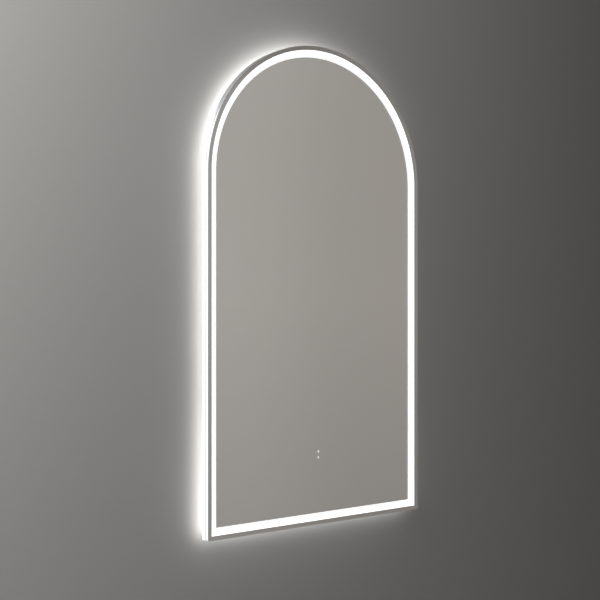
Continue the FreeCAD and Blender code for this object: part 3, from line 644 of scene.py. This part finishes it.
# %% Galvanised sheet
def galvanised():
    material = new_finish("zinc_steel")
    point = object_point()
    drift = add_node("ShaderNodeTexNoise", {"Vector": point, "Scale": 500.0, "Detail": 5.0})
    push = vector_maths("SUBTRACT", {0: drift.outputs["Color"], 1: (0.5, 0.5, 0.5)})
    push = vector_maths("SCALE", {0: push, "Scale": 2 * MM})
    moved = vector_maths("ADD", {0: point, 1: push})
    cells = add_node("ShaderNodeTexVoronoi", {"Vector": moved, "Scale": 230.0})
    seeds = add_node("ShaderNodeSeparateColor", {0: cells.outputs["Color"]}).outputs
    rolled = drawn(point, (0.01, 1.0, 1.0), 1400.0, 0.004 * MM)
    spangle = mix_colours(seeds[0], grey(0.42, -0.02), grey(0.62, -0.012))
    veil = times(mottled(7.0), 0.35)
    colour = mix_colours(veil, spangle, grey(0.54, -0.01))
    colour = mix_colours(times(worn_edge(0.5 * MM), 0.6), colour, grey(0.72))
    rough = plus(spread(seeds[2], 0.32, 0.50), spread(rolled["Mask"], 0.0, 0.06))
    return feed(material, Base_Color=colour, Metallic=1.0, Roughness=rough, Normal=rolled["Normal"])


put_on(galvanised(), "mirror_hanger", "wall_rail")

# %% [markdown]
# ### Zinc plate
#
# Screws, keys and nuts are zinc plated and blue passivated: brighter than galvanised sheet, with a
# faint change from blue to straw. One recipe serves them all, with its own tone and fineness. Its
# lines aren't stretched, because plating has no direction.

# %% Zinc plate
def zinc_plate(name, level, rough, line_scale):
    material = new_finish(name)
    lines = drawn(object_point(), (1.0, 1.0, 1.0), line_scale, 0.004 * MM)
    hue = mottled(11.0, 1.6)
    plate = mix_colours(hue, grey(level, -0.035), grey(level, 0.03))
    plate = mix_colours(times(lines["Mask"], 0.3), plate, grey(level * 0.86))
    edge = times(worn_edge(0.4 * MM), 0.7)
    plate = mix_colours(edge, plate, grey(level * 1.16))
    gloss = plus(spread(mottled(28.0), rough, rough + 0.12),
                  spread(lines["Mask"], 0.0, 0.05))
    return feed(material, Base_Color=plate, Metallic=1.0, Roughness=gloss, Normal=lines["Normal"])


put_on(zinc_plate("zinc_key", 0.60, 0.30, 1500.0), "corner_key_left", "corner_key_right")
SCREW_STEEL = zinc_plate("screw_steel", 0.70, 0.20, 2200.0)
put_on(SCREW_STEEL, "corner_key_screws", "earth_nut", "driver_screws")

# %% [markdown]
# ### Brass
#
# The earth stud is machined brass, turned on a lathe and lightly tarnished.

# %% Brass
def brass():
    material = new_finish("brass_stud")
    rings = drawn(object_point(), (0.05, 1.0, 0.05), 3500.0, 0.005 * MM)
    cloud = mottled(120.0)
    colour = mix_colours(cloud, (0.58, 0.40, 0.17, 1), (0.74, 0.55, 0.26, 1))
    return feed(material, Base_Color=colour, Metallic=1.0, Normal=rings["Normal"],
                Roughness=spread(rings["Mask"], 0.22, 0.36))


put_on(brass(), "earth_stud")

# %% [markdown]
# ### Moulded plastic and rubber
#
# Mouldings take the texture of their tool: a fine spark-eroded grain, glossier where parts rub.
# One recipe takes the colour, the gloss and the grain. Rubber is the same recipe, darker, duller
# and coarser, with a bloom of pale dust.

# %% Moulded plastic and rubber
def moulded(name, dark, light, gloss, grain_scale, grain_height, bloom=0.12):
    material = new_finish(name)
    cloud = mottled(45.0)
    edge = worn_edge(0.5 * MM)
    colour = mix_colours(cloud, dark, light)
    pale = tuple(min(1.0, part + bloom) for part in light[:3]) + (1.0,)
    colour = mix_colours(times(edge, 0.5), colour, pale)
    rough = minus(spread(cloud, gloss, gloss + 0.1), times(edge, 0.08))
    return feed(material, Base_Color=colour, Roughness=rough,
                Normal=grained(grain_scale, grain_height))


put_on(moulded("white_plastic", grey(0.72, 0.01), grey(0.80, 0.01), 0.42, 2600.0, 0.012 * MM),
       "driver_case", "driver_lid", "touch_case")
put_on(moulded("terminal_body", grey(0.60, 0.02), grey(0.68, 0.02), 0.36, 3000.0, 0.008 * MM),
       "terminal_block")
put_on(moulded("clip_nylon", grey(0.66, 0.03), grey(0.74, 0.03), 0.45, 2400.0, 0.01 * MM),
       "lead_clips")
RUBBER = moulded("black_rubber", grey(0.018), grey(0.032), 0.62, 1800.0, 0.03 * MM, 0.03)

# %% [markdown]
# ### Foam tape
#
# The glass is held by white tape of closed-cell foam. The cells show as fine dimples.

# %% Foam tape
def foam_tape():
    material = new_finish("foam_tape")
    point = object_point()
    cells = add_node("ShaderNodeTexVoronoi", {"Vector": point, "Scale": 2600.0}).outputs[0]
    relief = raised(cells, 0.2 * MM)
    colour = greys(cells, 0.66, 0.80, 0.015)
    return feed(material, Base_Color=colour, Roughness=spread(cells, 0.75, 0.9), Normal=relief)


put_on(foam_tape(), "bonding_tape")

# %% [markdown]
# ### Light tapes
#
# The tapes are white circuit strips with a dark cut mark at every 50 mm and copper pads on both
# sides of it. The marks repeat along the outline, so they are drawn on the way along it. The lamps
# are under a bead of yellow phosphor in front, and in small pale packages at the back.

# %% Light tape, phosphor and lamp packages
CUT_STEP = 50 * MM
PAD_STEP = 4 * MM
PHOSPHOR_GLOW = 0.5


def repeated(distance, step):
    """From 0 to 1 within each step."""
    return maths("FRACT", maths("DIVIDE", distance, step))


def tape_board():
    material = new_finish("tape_board")
    unrolled = place_group(OUTLINE)
    step = repeated(unrolled["Along"], CUT_STEP)
    from_cut = maths("ABSOLUTE", minus(step, 0.5))
    cut = maths("LESS_THAN", from_cut, 0.008)
    near = maths("LESS_THAN", from_cut, 0.05)
    across = repeated(unrolled["Inset"], PAD_STEP)
    pad = times(near, maths("GREATER_THAN", across, 0.45))
    mask = greys(mottled(90.0), 0.74, 0.82)
    colour = mix_colours(pad, mask, (0.60, 0.34, 0.17, 1))
    colour = mix_colours(cut, colour, grey(0.05))
    return feed(material, Base_Color=colour, Metallic=pad, Roughness=spread(pad, 0.5, 0.28))


def phosphor(name, pale, deep):
    material = new_finish(name)
    cloud = mottled(260.0)
    colour = mix_colours(cloud, pale, deep)
    return feed(material, Base_Color=colour, Roughness=spread(cloud, 0.35, 0.5),
                Normal=grained(3500.0, 0.01 * MM), Emission_Color=colour,
                Emission_Strength=PHOSPHOR_GLOW)


put_on(tape_board(), "front_led_tape", "rear_led_tape")
put_on(phosphor("phosphor", (0.93, 0.80, 0.36, 1), (0.86, 0.66, 0.22, 1)), "front_led_bead")
put_on(phosphor("led_chip", (0.95, 0.88, 0.62, 1), (0.92, 0.78, 0.40, 1)), "rear_led_chips")

# %% [markdown]
# ### Circuit boards
#
# A board is green solder mask over copper tracks, which stand up a little under it. Tracks are a
# grid of thin lines that noise breaks up.

# %% Circuit board
TRACK_STEP = 2.5 * MM
TRACK_SHARE = 0.45


def stripes(distance, step, share):
    return maths("LESS_THAN", repeated(distance, step), share)


def circuit_green():
    material = new_finish("circuit_green")
    point = object_point()
    x, _, z = axes(point)
    choose = maths("GREATER_THAN", noise(point, 120.0, 2.0), 0.5)
    line_x = times(stripes(x, TRACK_STEP, TRACK_SHARE), choose)
    line_z = times(stripes(z, TRACK_STEP, TRACK_SHARE), flip(choose))
    track = maths("MAXIMUM", line_x, line_z)
    relief = raised(track, 0.05 * MM)
    cloud = mottled(60.0)
    ground = mix_colours(cloud, (0.008, 0.10, 0.035, 1), (0.014, 0.14, 0.05, 1))
    colour = mix_colours(track, ground, (0.03, 0.22, 0.085, 1))
    return feed(material, Base_Color=colour, Roughness=spread(cloud, 0.28, 0.4), Normal=relief)


put_on(circuit_green(), "driver_board", "touch_board")

# %% [markdown]
# ### Heating film
#
# The demister is an amber polyester film over a fine foil track that runs to and fro. The track is
# a stripe with a regular pitch, which shows through the film a little raised.

# %% Heating film
FOIL_STEP = 6 * MM
FOIL_SHARE = 0.35


def heating_film():
    material = new_finish("heating_film")
    track = stripes(axes(object_point())[2], FOIL_STEP, FOIL_SHARE)
    relief = raised(track, 0.08 * MM)
    cloud = mottled(40.0)
    film = mix_colours(cloud, (0.56, 0.46, 0.27, 1), (0.64, 0.54, 0.34, 1))
    colour = mix_colours(track, film, (0.40, 0.38, 0.34, 1))
    return feed(material, Base_Color=colour, Roughness=spread(cloud, 0.3, 0.42), Normal=relief)


put_on(heating_film(), "demister_pad")

# %% [markdown]
# ### Touch marks
#
# Two small acrylic guides bring the sensor's light to the windows in the silvering. They glow.

# %% Light guides
MARK_GLOW = 0.68


def light_guide():
    material = new_finish("light_guide")
    cloud = mottled(300.0)
    glow = mix_colours(cloud, (0.92, 0.96, 1.0, 1), (1, 1, 1, 1))
    return feed(material, Base_Color=grey(0.85), Roughness=spread(cloud, 0.2, 0.35),
                Emission_Color=glow, Emission_Strength=MARK_GLOW)


put_on(light_guide(), "touch_light_guides")

# %% [markdown]
# ### Lead sheaths
#
# Leads have a sheath of soft plastic, slightly glossy and with a faint grain. The earth lead is
# green with a yellow stripe.

# %% Lead sheaths
def lead_sheath(name, colour, stripe=None):
    material = new_finish(name)
    cloud = mottled(60.0)
    lighter = tuple(min(1.0, part * 1.15 + 0.01) for part in colour[:3]) + (1.0,)
    sheath = mix_colours(cloud, colour, lighter)
    if stripe:
        facing = maths("ABSOLUTE", axes(surface_normal())[1])
        sheath = mix_colours(maths("GREATER_THAN", facing, 0.7), sheath, stripe)
    return feed(material, Base_Color=sheath, Roughness=spread(cloud, 0.36, 0.46),
                Normal=grained(1200.0, 0.01 * MM))


put_on(lead_sheath("lead_white", grey(0.70)), "supply_lead", "demister_lead")
put_on(lead_sheath("lead_red", (0.48, 0.02, 0.015, 1)), "front_led_lead")
put_on(lead_sheath("lead_black", grey(0.02)), "rear_led_lead", "touch_lead")
put_on(lead_sheath("lead_earth", (0.02, 0.22, 0.04, 1), (0.75, 0.62, 0.03, 1)), "earth_lead")

# %% [markdown]
# ## Modelling by hand: helpers
#
# New pieces are made with the operators that the menus use. An operator works on what is
# selected, so each step first clears the selection, and then picks faces or edges by their place.

# %% Select nothing, pick parts, and finish a piece
def clear_selection():
    if bpy.context.object and bpy.context.object.mode != "OBJECT":
        bpy.ops.object.mode_set(mode="OBJECT")
    bpy.ops.object.select_all(action="DESELECT")


def make_active(piece):
    clear_selection()
    piece.select_set(True)
    bpy.context.view_layer.objects.active = piece


def name_new(name):
    piece = bpy.context.object
    piece.name = piece.data.name = name
    return piece


def pick_all():
    bpy.ops.mesh.select_all(action="SELECT")


def start_edit():
    bpy.ops.object.mode_set(mode="EDIT")
    pick_all()


def extrude(step):
    bpy.ops.mesh.extrude_region_move(TRANSFORM_OT_translate={"value": step})


def turn_outwards():
    pick_all()
    bpy.ops.mesh.normals_make_consistent(inside=False)


def pick(kind, test):
    """In edit mode, select only the vertices, edges or faces that pass the test."""
    bpy.ops.mesh.select_mode(type=kind)
    bpy.ops.mesh.select_all(action="DESELECT")
    mesh = bmesh.from_edit_mesh(bpy.context.object.data)
    parts = {"VERT": mesh.verts, "EDGE": mesh.edges, "FACE": mesh.faces}[kind]
    count = 0
    for part in parts:
        if test(part):
            part.select_set(True)
            count += 1
    mesh.select_flush_mode()
    bmesh.update_edit_mesh(bpy.context.object.data)
    return count


def finish_piece(piece, material, slot, body, *stands_for):
    """Smooth shading up to an angle, a finish, and a place in the frame."""
    make_active(piece)
    bpy.ops.object.transform_apply(location=True, rotation=True, scale=True)
    bpy.ops.object.shade_smooth_by_angle(angle=math.radians(30))
    piece.data.materials.clear()
    piece.data.materials.append(material)
    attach(piece, body)
    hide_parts(*stands_for)
    print(piece.name, "faces", len(piece.data.polygons), "stands for", stands_for)

# %% [markdown]
# ### The pane of glass
#
# The glass is cut to the arch and its edge is ground with a small arris front and back. Modelled
# by hand it is a disc, cut in half, whose straight side is pulled down to the bottom, and then
# extruded to its thickness and bevelled. Its back reaches a hair into the silvering, so that light
# inside the glass meets the silver itself, as it does in a real mirror.

# %% The pane of glass
ARRIS = 0.6 * MM
INTO_SILVER = 0.05 * MM


def disc(name, place, depth, radius, sides):
    """A flat disc that faces the front. Depth is counted from the front of the glass."""
    clear_selection()
    x, z = place
    bpy.ops.mesh.primitive_circle_add(vertices=sides, radius=radius, fill_type="NGON",
                                      location=(x, GLASS_FRONT + depth, z),
                                      rotation=(math.pi / 2, 0, 0))
    piece = name_new(name)
    bpy.ops.object.transform_apply(location=True, rotation=True)
    return piece


def lies_at(edge, axis, value):
    return all(abs(vert.co[axis] - value) < 1e-6 for vert in edge.verts)


def arched_glass():
    piece = disc("arched_glass", (0, 0), 0, ARCH_R, 360)
    start_edit()
    bpy.ops.mesh.bisect(plane_co=(0, GLASS_FRONT, 0), plane_no=(0, 0, 1), clear_inner=True)
    pick("EDGE", lambda edge: lies_at(edge, 2, 0))
    extrude((0, 0, BOTTOM))
    pick_all()
    bpy.ops.mesh.dissolve_limited(angle_limit=math.radians(0.1))
    pick_all()
    back = GLASS_BACK + INTO_SILVER
    extrude((0, back - GLASS_FRONT, 0))
    turn_outwards()
    faces = (GLASS_FRONT, back)
    print("arris edges", pick("EDGE", lambda edge: any(lies_at(edge, 1, y) for y in faces)))
    bpy.ops.mesh.bevel(offset=ARRIS, segments=1, affect="EDGES")
    return piece


finish_piece(arched_glass(), CLEAR_GLASS, "clear_glass", "mirror", "mirror_glass")

# %% [markdown]
# ### Turned pieces
#
# Screws, rivets, feet and bushes are round, so they can share one way of modelling. A disc is
# extruded again and again along the depth and scaled at each step, as one follows a profile on a
# lathe. A bevel then breaks the sharp edges, and a boolean cuts holes and recesses. A spin of half
# the profile would do as well, but extruding keeps both ends closed without merging points.

# %% Turn a profile
def turned(name, place, profile, sides=40):
    """Profile is (radius, depth behind the front of the glass) from the front end to the back."""
    x, z = place
    radius, depth = profile[0]
    piece = disc(name, place, depth, radius, sides)
    start_edit()
    for next_radius, next_depth in profile[1:]:
        extrude((0, next_depth - depth, 0))
        scale = next_radius / radius
        centre = (x, GLASS_FRONT + next_depth, z)
        bpy.ops.transform.resize(value=(scale, 1, scale), center_override=centre)
        radius, depth = next_radius, next_depth
    turn_outwards()
    bpy.ops.object.mode_set(mode="OBJECT")
    return piece


def in_mm(*profile):
    return [(radius * MM, depth * MM) for radius, depth in profile]

# %% Bevel, cut and copy
def apply_modifier(piece, kind, **settings):
    make_active(piece)
    modifier = piece.modifiers.new(kind.lower(), kind)
    for label, value in settings.items():
        setattr(modifier, label, value)
    bpy.ops.object.modifier_apply(modifier=modifier.name)


def soften(piece, width):
    apply_modifier(piece, "BEVEL", width=width, segments=2, limit_method="ANGLE",
                   angle_limit=math.radians(32), harden_normals=False)


def cut_with(piece, cutter):
    apply_modifier(piece, "BOOLEAN", object=cutter, operation="DIFFERENCE", solver="EXACT")
    bpy.data.objects.remove(cutter)


def repeat(first, name, places):
    """The first piece stands at the first place, and each copy has its own mesh."""
    pieces = [first]
    first.name = first.data.name = name + "_1"
    start_x, start_z = places[0]
    for number, (x, z) in enumerate(places[1:], 2):
        make_active(first)
        bpy.ops.object.duplicate(linked=False)
        pieces.append(name_new(f"{name}_{number}"))
        bpy.ops.transform.translate(value=(x - start_x, 0, z - start_z))
        bpy.ops.object.transform_apply(location=True, rotation=False, scale=False)
    return pieces


def open_edges(piece):
    mesh = bmesh.new()
    mesh.from_mesh(piece.data)
    count = sum(not edge.is_manifold for edge in mesh.edges)
    mesh.free()
    return count

# %% [markdown]
# ### Panel screws
#
# Thirteen screws with a pan head and a cross recess hold the back panel. The head is domed by the
# steps of its profile. The recess is cut by two thin wedges that cross, as the driver's tip is.
# The first screw is made at its own place, and the others are copies of it.

# %% Cutter for a recess
RECESS_TAPER = (0.45, 1, 0.6)


def bar(place, face, length, sink, width):
    """A bar across a piece's face, half of it above the face."""
    clear_selection()
    x, z = place
    bpy.ops.mesh.primitive_cube_add(size=1, location=(x, GLASS_FRONT + face, z))
    bpy.ops.transform.resize(value=(length, 2 * sink, width))
    bpy.ops.object.transform_apply(location=True, scale=True)
    return bpy.context.object


def cross_cutter(place, face, length, sink, width):
    """Two wedges that cross and narrow towards the bottom of the recess."""
    x, z = place
    top = (x, GLASS_FRONT + face, z)
    bottom = (x, GLASS_FRONT + face - sink, z)
    blades = []
    for turn in (0, math.pi / 2):
        blades.append(bar(place, face, length, sink, width))
        bpy.ops.object.mode_set(mode="EDIT")
        pick("FACE", lambda each: each.normal.y < -0.9)
        bpy.ops.transform.resize(value=RECESS_TAPER, center_override=bottom)
        pick_all()
        bpy.ops.transform.rotate(value=turn, orient_axis="Y", center_override=top)
        bpy.ops.object.mode_set(mode="OBJECT")
    apply_modifier(blades[0], "BOOLEAN", object=blades[1], operation="UNION", solver="EXACT")
    bpy.data.objects.remove(blades[1])
    return blades[0]

# %% One screw with a pan head
PANEL_BACK = 28.2 * MM
SCREW_TIP = 23 * MM
PAN_WIDE = 2.2
PAN_HIGH = 1.4
DOME_ANGLES = (0.0, 0.35, 0.7, 1.05)
RECESS_WIDTH = 0.62 * MM
RECESS_SHARE = 0.62


def pan_screw(name, place, shank_r):
    head_r = shank_r * PAN_WIDE
    head_t = shank_r * PAN_HIGH
    top = PANEL_BACK + head_t
    shank = [(shank_r * 0.35, SCREW_TIP), (shank_r, SCREW_TIP + shank_r), (shank_r, PANEL_BACK)]
    dome = [(head_r * math.cos(angle), PANEL_BACK + head_t * (0.35 + 0.65 * math.sin(angle)))
            for angle in DOME_ANGLES]
    profile = shank + [(head_r, PANEL_BACK)] + dome + [(head_r * 0.2, top)]
    screw = turned(name, place, profile)
    soften(screw, 0.08 * MM)
    cut_with(screw, cross_cutter(place, top, head_r * 1.1, head_t * RECESS_SHARE, RECESS_WIDTH))
    return screw

# %% All the panel screws
SCREW_LINE = 31 * MM
SCREW_R = 1.25 * MM

ring_r = ARCH_R - SCREW_LINE
screw_places = [(side * ring_r, z * MM) for side in (1, -1) for z in (-40, -200, -360, -520)]
screw_places += [(ring_r * math.cos(math.radians(turn)), ring_r * math.sin(math.radians(turn)))
                 for turn in (30, 90, 150)]
screw_places += [(x * MM, BOTTOM + SCREW_LINE) for x in (-130, 130)]
first_screw = pan_screw("panel_screw", screw_places[0], SCREW_R)
print("open edges", open_edges(first_screw))
for screw in repeat(first_screw, "panel_screw", screw_places):
    finish_piece(screw, SCREW_STEEL, "screw_steel", "mirror", "panel_screws")

# %% [markdown]
# ### Terminal screws
#
# The terminal block has one screw from behind, like those of the panel but thicker, and a slotted
# screw for each of its three poles. The slot is cut with a flat bar.

# %% Terminal screws
TERMINAL_AT = (60 * MM, -150 * MM)
FIXING_R = 1.5 * MM
POLE_PITCH = 9 * MM
POLE_SCREW_R = 1.9 * MM
POLE_TOP = 14.8 * MM
POLE_TIP = 18.6 * MM
SLOT = (5 * MM, 0.8 * MM, 0.7 * MM)


def slotted_screw(name, place):
    profile = [(POLE_SCREW_R, POLE_TOP), (POLE_SCREW_R, POLE_TIP - 0.6 * MM),
               (POLE_SCREW_R * 0.6, POLE_TIP)]
    screw = turned(name, place, profile, 32)
    soften(screw, 0.12 * MM)
    cut_with(screw, bar(place, POLE_TOP, *SLOT))
    return screw


fixing = pan_screw("terminal_fixing", TERMINAL_AT, FIXING_R)
poles = [(TERMINAL_AT[0] + step * POLE_PITCH, TERMINAL_AT[1]) for step in (-1, 0, 1)]
pole_screws = repeat(slotted_screw("pole_screw", poles[0]), "pole_screw", poles)
print("open edges", open_edges(fixing), open_edges(pole_screws[0]))
for screw in [fixing] + pole_screws:
    finish_piece(screw, SCREW_STEEL, "screw_steel", "mirror", "terminal_screws")

# %% [markdown]
# ### Hanger rivets
#
# Blind rivets hold the hanger. Each has a low dome outside with the hole of its pulled pin, and a
# swollen tail inside the panel. Both come from the profile, and the hole is drilled by a boolean.

# %% Hanger rivets
RIVET_TAIL = in_mm((1.1, 25.2), (2.0, 25.5), (2.5, 26.0), (2.45, 26.6), (2.3, 27.0))
RIVET_BODY = in_mm((1.6, 27.0), (1.6, 30.2))
RIVET_HEAD = in_mm((3.25, 30.2), (3.3, 30.4), (3.05, 30.8), (2.5, 31.1), (1.8, 31.32), (1.2, 31.4))
PIN_HOLE = (0.75 * MM, 28.6 * MM, 32 * MM)
RIVET_PLACES = [(x * MM, 44 * MM) for x in (-130, -65, 0, 65, 130)]


def drill(piece, place, radius, start, end):
    """A round hole from one depth to another."""
    x, z = place
    middle = GLASS_FRONT + (start + end) / 2
    clear_selection()
    bpy.ops.mesh.primitive_cylinder_add(vertices=32, radius=radius, depth=end - start,
                                        location=(x, middle, z), rotation=(math.pi / 2, 0, 0))
    bpy.ops.object.transform_apply(location=True, rotation=True)
    cut_with(piece, bpy.context.object)


def blind_rivet(name, place):
    rivet = turned(name, place, RIVET_TAIL + RIVET_BODY + RIVET_HEAD, 36)
    drill(rivet, place, *PIN_HOLE)
    soften(rivet, 0.06 * MM)
    return rivet


first_rivet = blind_rivet("hanger_rivet", RIVET_PLACES[0])
print("open edges", open_edges(first_rivet))
for rivet in repeat(first_rivet, "hanger_rivet", RIVET_PLACES):
    finish_piece(rivet, ANODISED, "anodised", "mirror", "hanger_rivets")

# %% [markdown]
# ### Wall bumpers and cable bush
#
# The feet keep the bottom of the mirror off the wall. Each is a rubber moulding with a barbed stem
# through the panel, a waisted foot, and a groove and a hollow in the face that meets the wall. The
# bush where the supply comes in is moulded too: two lips with a groove between them for the panel.

# %% Wall bumpers
STEM = in_mm((1.6, 25.0), (3.2, 26.2), (3.2, 27.0), (2.4, 27.0), (2.4, 28.2))
FOOT = in_mm((9.6, 28.2), (10.0, 28.6), (10.0, 30.0), (9.2, 31.2), (8.9, 32.4), (9.1, 33.6),
             (9.0, 35.0), (8.3, 35.8), (7.5, 36.0))
WALL_SIDE = in_mm((6.2, 36.0), (5.9, 35.7), (5.2, 35.7), (4.9, 36.0), (3.0, 36.0), (2.0, 35.0),
                  (0.4, 35.0))
BUMPER_PLACES = [(-150 * MM, -600 * MM), (150 * MM, -600 * MM)]

first_bumper = turned("wall_bumper", BUMPER_PLACES[0], STEM + FOOT + WALL_SIDE, 48)
soften(first_bumper, 0.12 * MM)
print("open edges", open_edges(first_bumper))
for bumper in repeat(first_bumper, "wall_bumper", BUMPER_PLACES):
    finish_piece(bumper, RUBBER, "black_rubber", "mirror", "wall_bumpers")

# %% Cable bush
FRONT_LIP = in_mm((8.2, 25.9), (9.0, 26.1), (9.5, 26.5), (9.5, 27.0))
GROOVE = in_mm((6.9, 27.0), (6.9, 28.2))
BACK_LIP = in_mm((9.5, 28.2), (9.5, 28.7), (8.9, 29.1), (8.0, 29.3), (5.6, 29.3))
BUSH_AT = (110 * MM, -150 * MM)
BUSH_BORE = (4.0 * MM, 25 * MM, 30 * MM)

bush = turned("cable_bush", BUSH_AT, FRONT_LIP + GROOVE + BACK_LIP, 48)
drill(bush, BUSH_AT, *BUSH_BORE)
soften(bush, 0.15 * MM)
print("open edges", open_edges(bush))
finish_piece(bush, RUBBER, "black_rubber", "mirror", "cable_grommet")

# %% [markdown]
# ## The wall, the floor and the light
#
# The mirror hangs on a plain grey wall, so that its halo shows. Painted light makes the wall
# lighter to the left and a little lighter above, where the light falls. The wall is there for the
# camera and for reflections, and only from its front: seen from behind it is clear, and lamps shine
# through it, so that the back of the mirror can be looked at too. The floor is plain and pale.

# %% Wall paint with painted light
WALL_TINT = (1.02, 1.0, 0.96)
WALL_GREY = 0.178
FADE_RIGHT = -0.94
FADE_UP = 0.268
FADE_BOTH = -0.297
FADE_LEAST = -1.1
FADE_MOST = 0.8
MIRRORED_FROM = 30 * MM


def wall_with_painted_light():
    material = new_finish("wall_with_painted_light")
    across, up, _ = axes(object_point())
    # Painted light: the wall's grey rises to the left and above.
    painted_light_fade = plus(times(across, FADE_RIGHT), times(up, FADE_UP))
    painted_light_fade = plus(painted_light_fade, times(times(across, up), FADE_BOTH))
    painted_light_fade = add_node("ShaderNodeClamp", {0: painted_light_fade, 1: FADE_LEAST, 2: FADE_MOST}).outputs[0]
    level = times(maths("EXPONENT", painted_light_fade), WALL_GREY)
    paint = vector_maths("SCALE", {0: WALL_TINT, "Scale": level})
    feed(material, Base_Color=paint, Roughness=0.95, Specular_IOR_Level=0.1)
    path = add_node("ShaderNodeLightPath").outputs
    outside = maths("LESS_THAN", place_group(OUTLINE)["Inset"], MIRRORED_FROM)
    mirrored = times(path["Is Glossy Ray"], outside)
    seen = maths("MAXIMUM", path["Is Camera Ray"], path["Is Transmission Ray"])
    seen = maths("MAXIMUM", seen, mirrored)
    behind = add_node("ShaderNodeNewGeometry").outputs["Backfacing"]
    shown = times(seen, flip(behind))
    clear = add_node("ShaderNodeBsdfTransparent").outputs[0]
    solid = main_shader(material).outputs[0]
    both = add_node("ShaderNodeMixShader", {0: shown, 1: clear, 2: solid}).outputs[0]
    connect(material.node_tree.nodes["Material Output"], {"Surface": both})
    return material

# %% Wall and floor
FLOOR_PALE = grey(0.80, 0.01)
FLOOR_Z = -1.70


def floor_paint():
    material = new_finish("floor_paint")
    return feed(material, Base_Color=FLOOR_PALE, Roughness=0.9, Specular_IOR_Level=0.1)


def staged_plane(name, size, place, turn, paint):
    clear_selection()
    bpy.ops.mesh.primitive_plane_add(size=size, location=place, rotation=turn)
    plane = name_new(name)
    plane.data.materials.append(paint)
    print(name, "is staged")


staged_plane("wall", 6.0, (0, 0.3 * MM, 0), (math.pi / 2, 0, 0), wall_with_painted_light())
staged_plane("floor", 5.0, (0, 0, FLOOR_Z), (0, 0, 0), floor_paint())

# %% [markdown]
# The mirror shows the room in front of it, so the room is a soft warm grey. Its level and its
# warmth depend on the direction: light on the left, dark right of the middle and lighter again at
# the far right, darker below and lighter above. The levels go with the direction from left, -1,
# to right, 1. The room is there for the camera and for reflections. Matt surfaces are lit by an
# even white, at which a colour renders about as it is written.

# %% World
EVEN_LIGHT = 0.55
ROOM_LEVELS = [(-1.0, 0.80), (-0.5, 0.72), (0.0, 0.56), (0.26, 0.37), (0.53, 0.392), (0.68, 0.318),
               (0.76, 0.35), (0.86, 0.50), (1.0, 0.52)]
LEFT_TINT = (1.055, 1.0, 0.945, 1)
RIGHT_TINT = (1.09, 1.0, 0.925, 1)
FAR_RIGHT_TINT = (1.02, 1.0, 0.95, 1)


def room():
    world = bpy.data.worlds.new("room")
    bpy.context.scene.world = world
    world.use_nodes = True
    bench["tree"] = world.node_tree
    even = world.node_tree.nodes["Background"]
    connect(even, {"Strength": EVEN_LIGHT, "Color": (1, 1, 1, 1)})
    x, _, z = axes(add_node("ShaderNodeTexCoord").outputs["Generated"])
    curve = add_node("ShaderNodeFloatCurve", {"Value": spread(x, 0.0, 1.0, -1.0, 1.0)})
    line = curve.mapping.curves[0]
    for way_right, level in ROOM_LEVELS[1:-1]:
        line.points.new((way_right + 1) / 2, level)
    line.points[0].location = (0.0, ROOM_LEVELS[0][1])
    line.points[-1].location = (1.0, ROOM_LEVELS[-1][1])
    curve.mapping.update()
    below = spread(z, 0.80, 1.0, -0.20, 0.0)
    above = spread(z, 1.0, 1.5, 0.25, 0.9)
    level = times(curve.outputs[0], times(below, above))
    warm = mix_colours(spread(x, 0.0, 1.0, 0.5, 0.72), LEFT_TINT, RIGHT_TINT)
    warm = mix_colours(spread(x, 0.0, 1.0, 0.76, 0.84), warm, FAR_RIGHT_TINT)
    tint = vector_maths("SCALE", {0: warm, "Scale": level})
    shown = add_node("ShaderNodeBackground", {0: tint, 1: 1.0})
    choices = {0: seen_directly(), 1: even.outputs[0], 2: shown.outputs[0]}
    both = add_node("ShaderNodeMixShader", choices).outputs[0]
    connect(world.node_tree.nodes["World Output"], {"Surface": both})


room()

# %% [markdown]
# Large soft lamps stand left and right in front, and two behind for the back of the mirror. They
# are hidden from the camera, and the ones in front are hidden from reflections too, because a
# lamp in the glass would be all that one sees.

# %% Lamps
LAMP_AIM = Vector((0, 0, -0.2))
LAMPS = [("lamp_left", (-1.7, -1.3, 0.8), 1.0, 22.0, False),
         ("lamp_right", (1.8, -2.2, 0.4), 1.5, 12.0, False),
         ("lamp_behind", (-1.6, 2.0, 1.1), 1.4, 25.0, True),
         ("lamp_behind_right", (2.0, 1.6, 0.1), 1.4, 13.0, True)]

for name, place, size, power, mirrored in LAMPS:
    data = bpy.data.lights.new(name, "AREA")
    data.shape = "SQUARE"
    data.size = size
    data.energy = power
    lamp = bpy.data.objects.new(name, data)
    lamp.location = place
    lamp.rotation_euler = (LAMP_AIM - Vector(place)).to_track_quat("-Z", "Y").to_euler()
    lamp.visible_camera = False
    lamp.visible_glossy = mirrored
    lamp.visible_transmission = mirrored
    bpy.context.scene.collection.objects.link(lamp)
    print(name, "power", power)
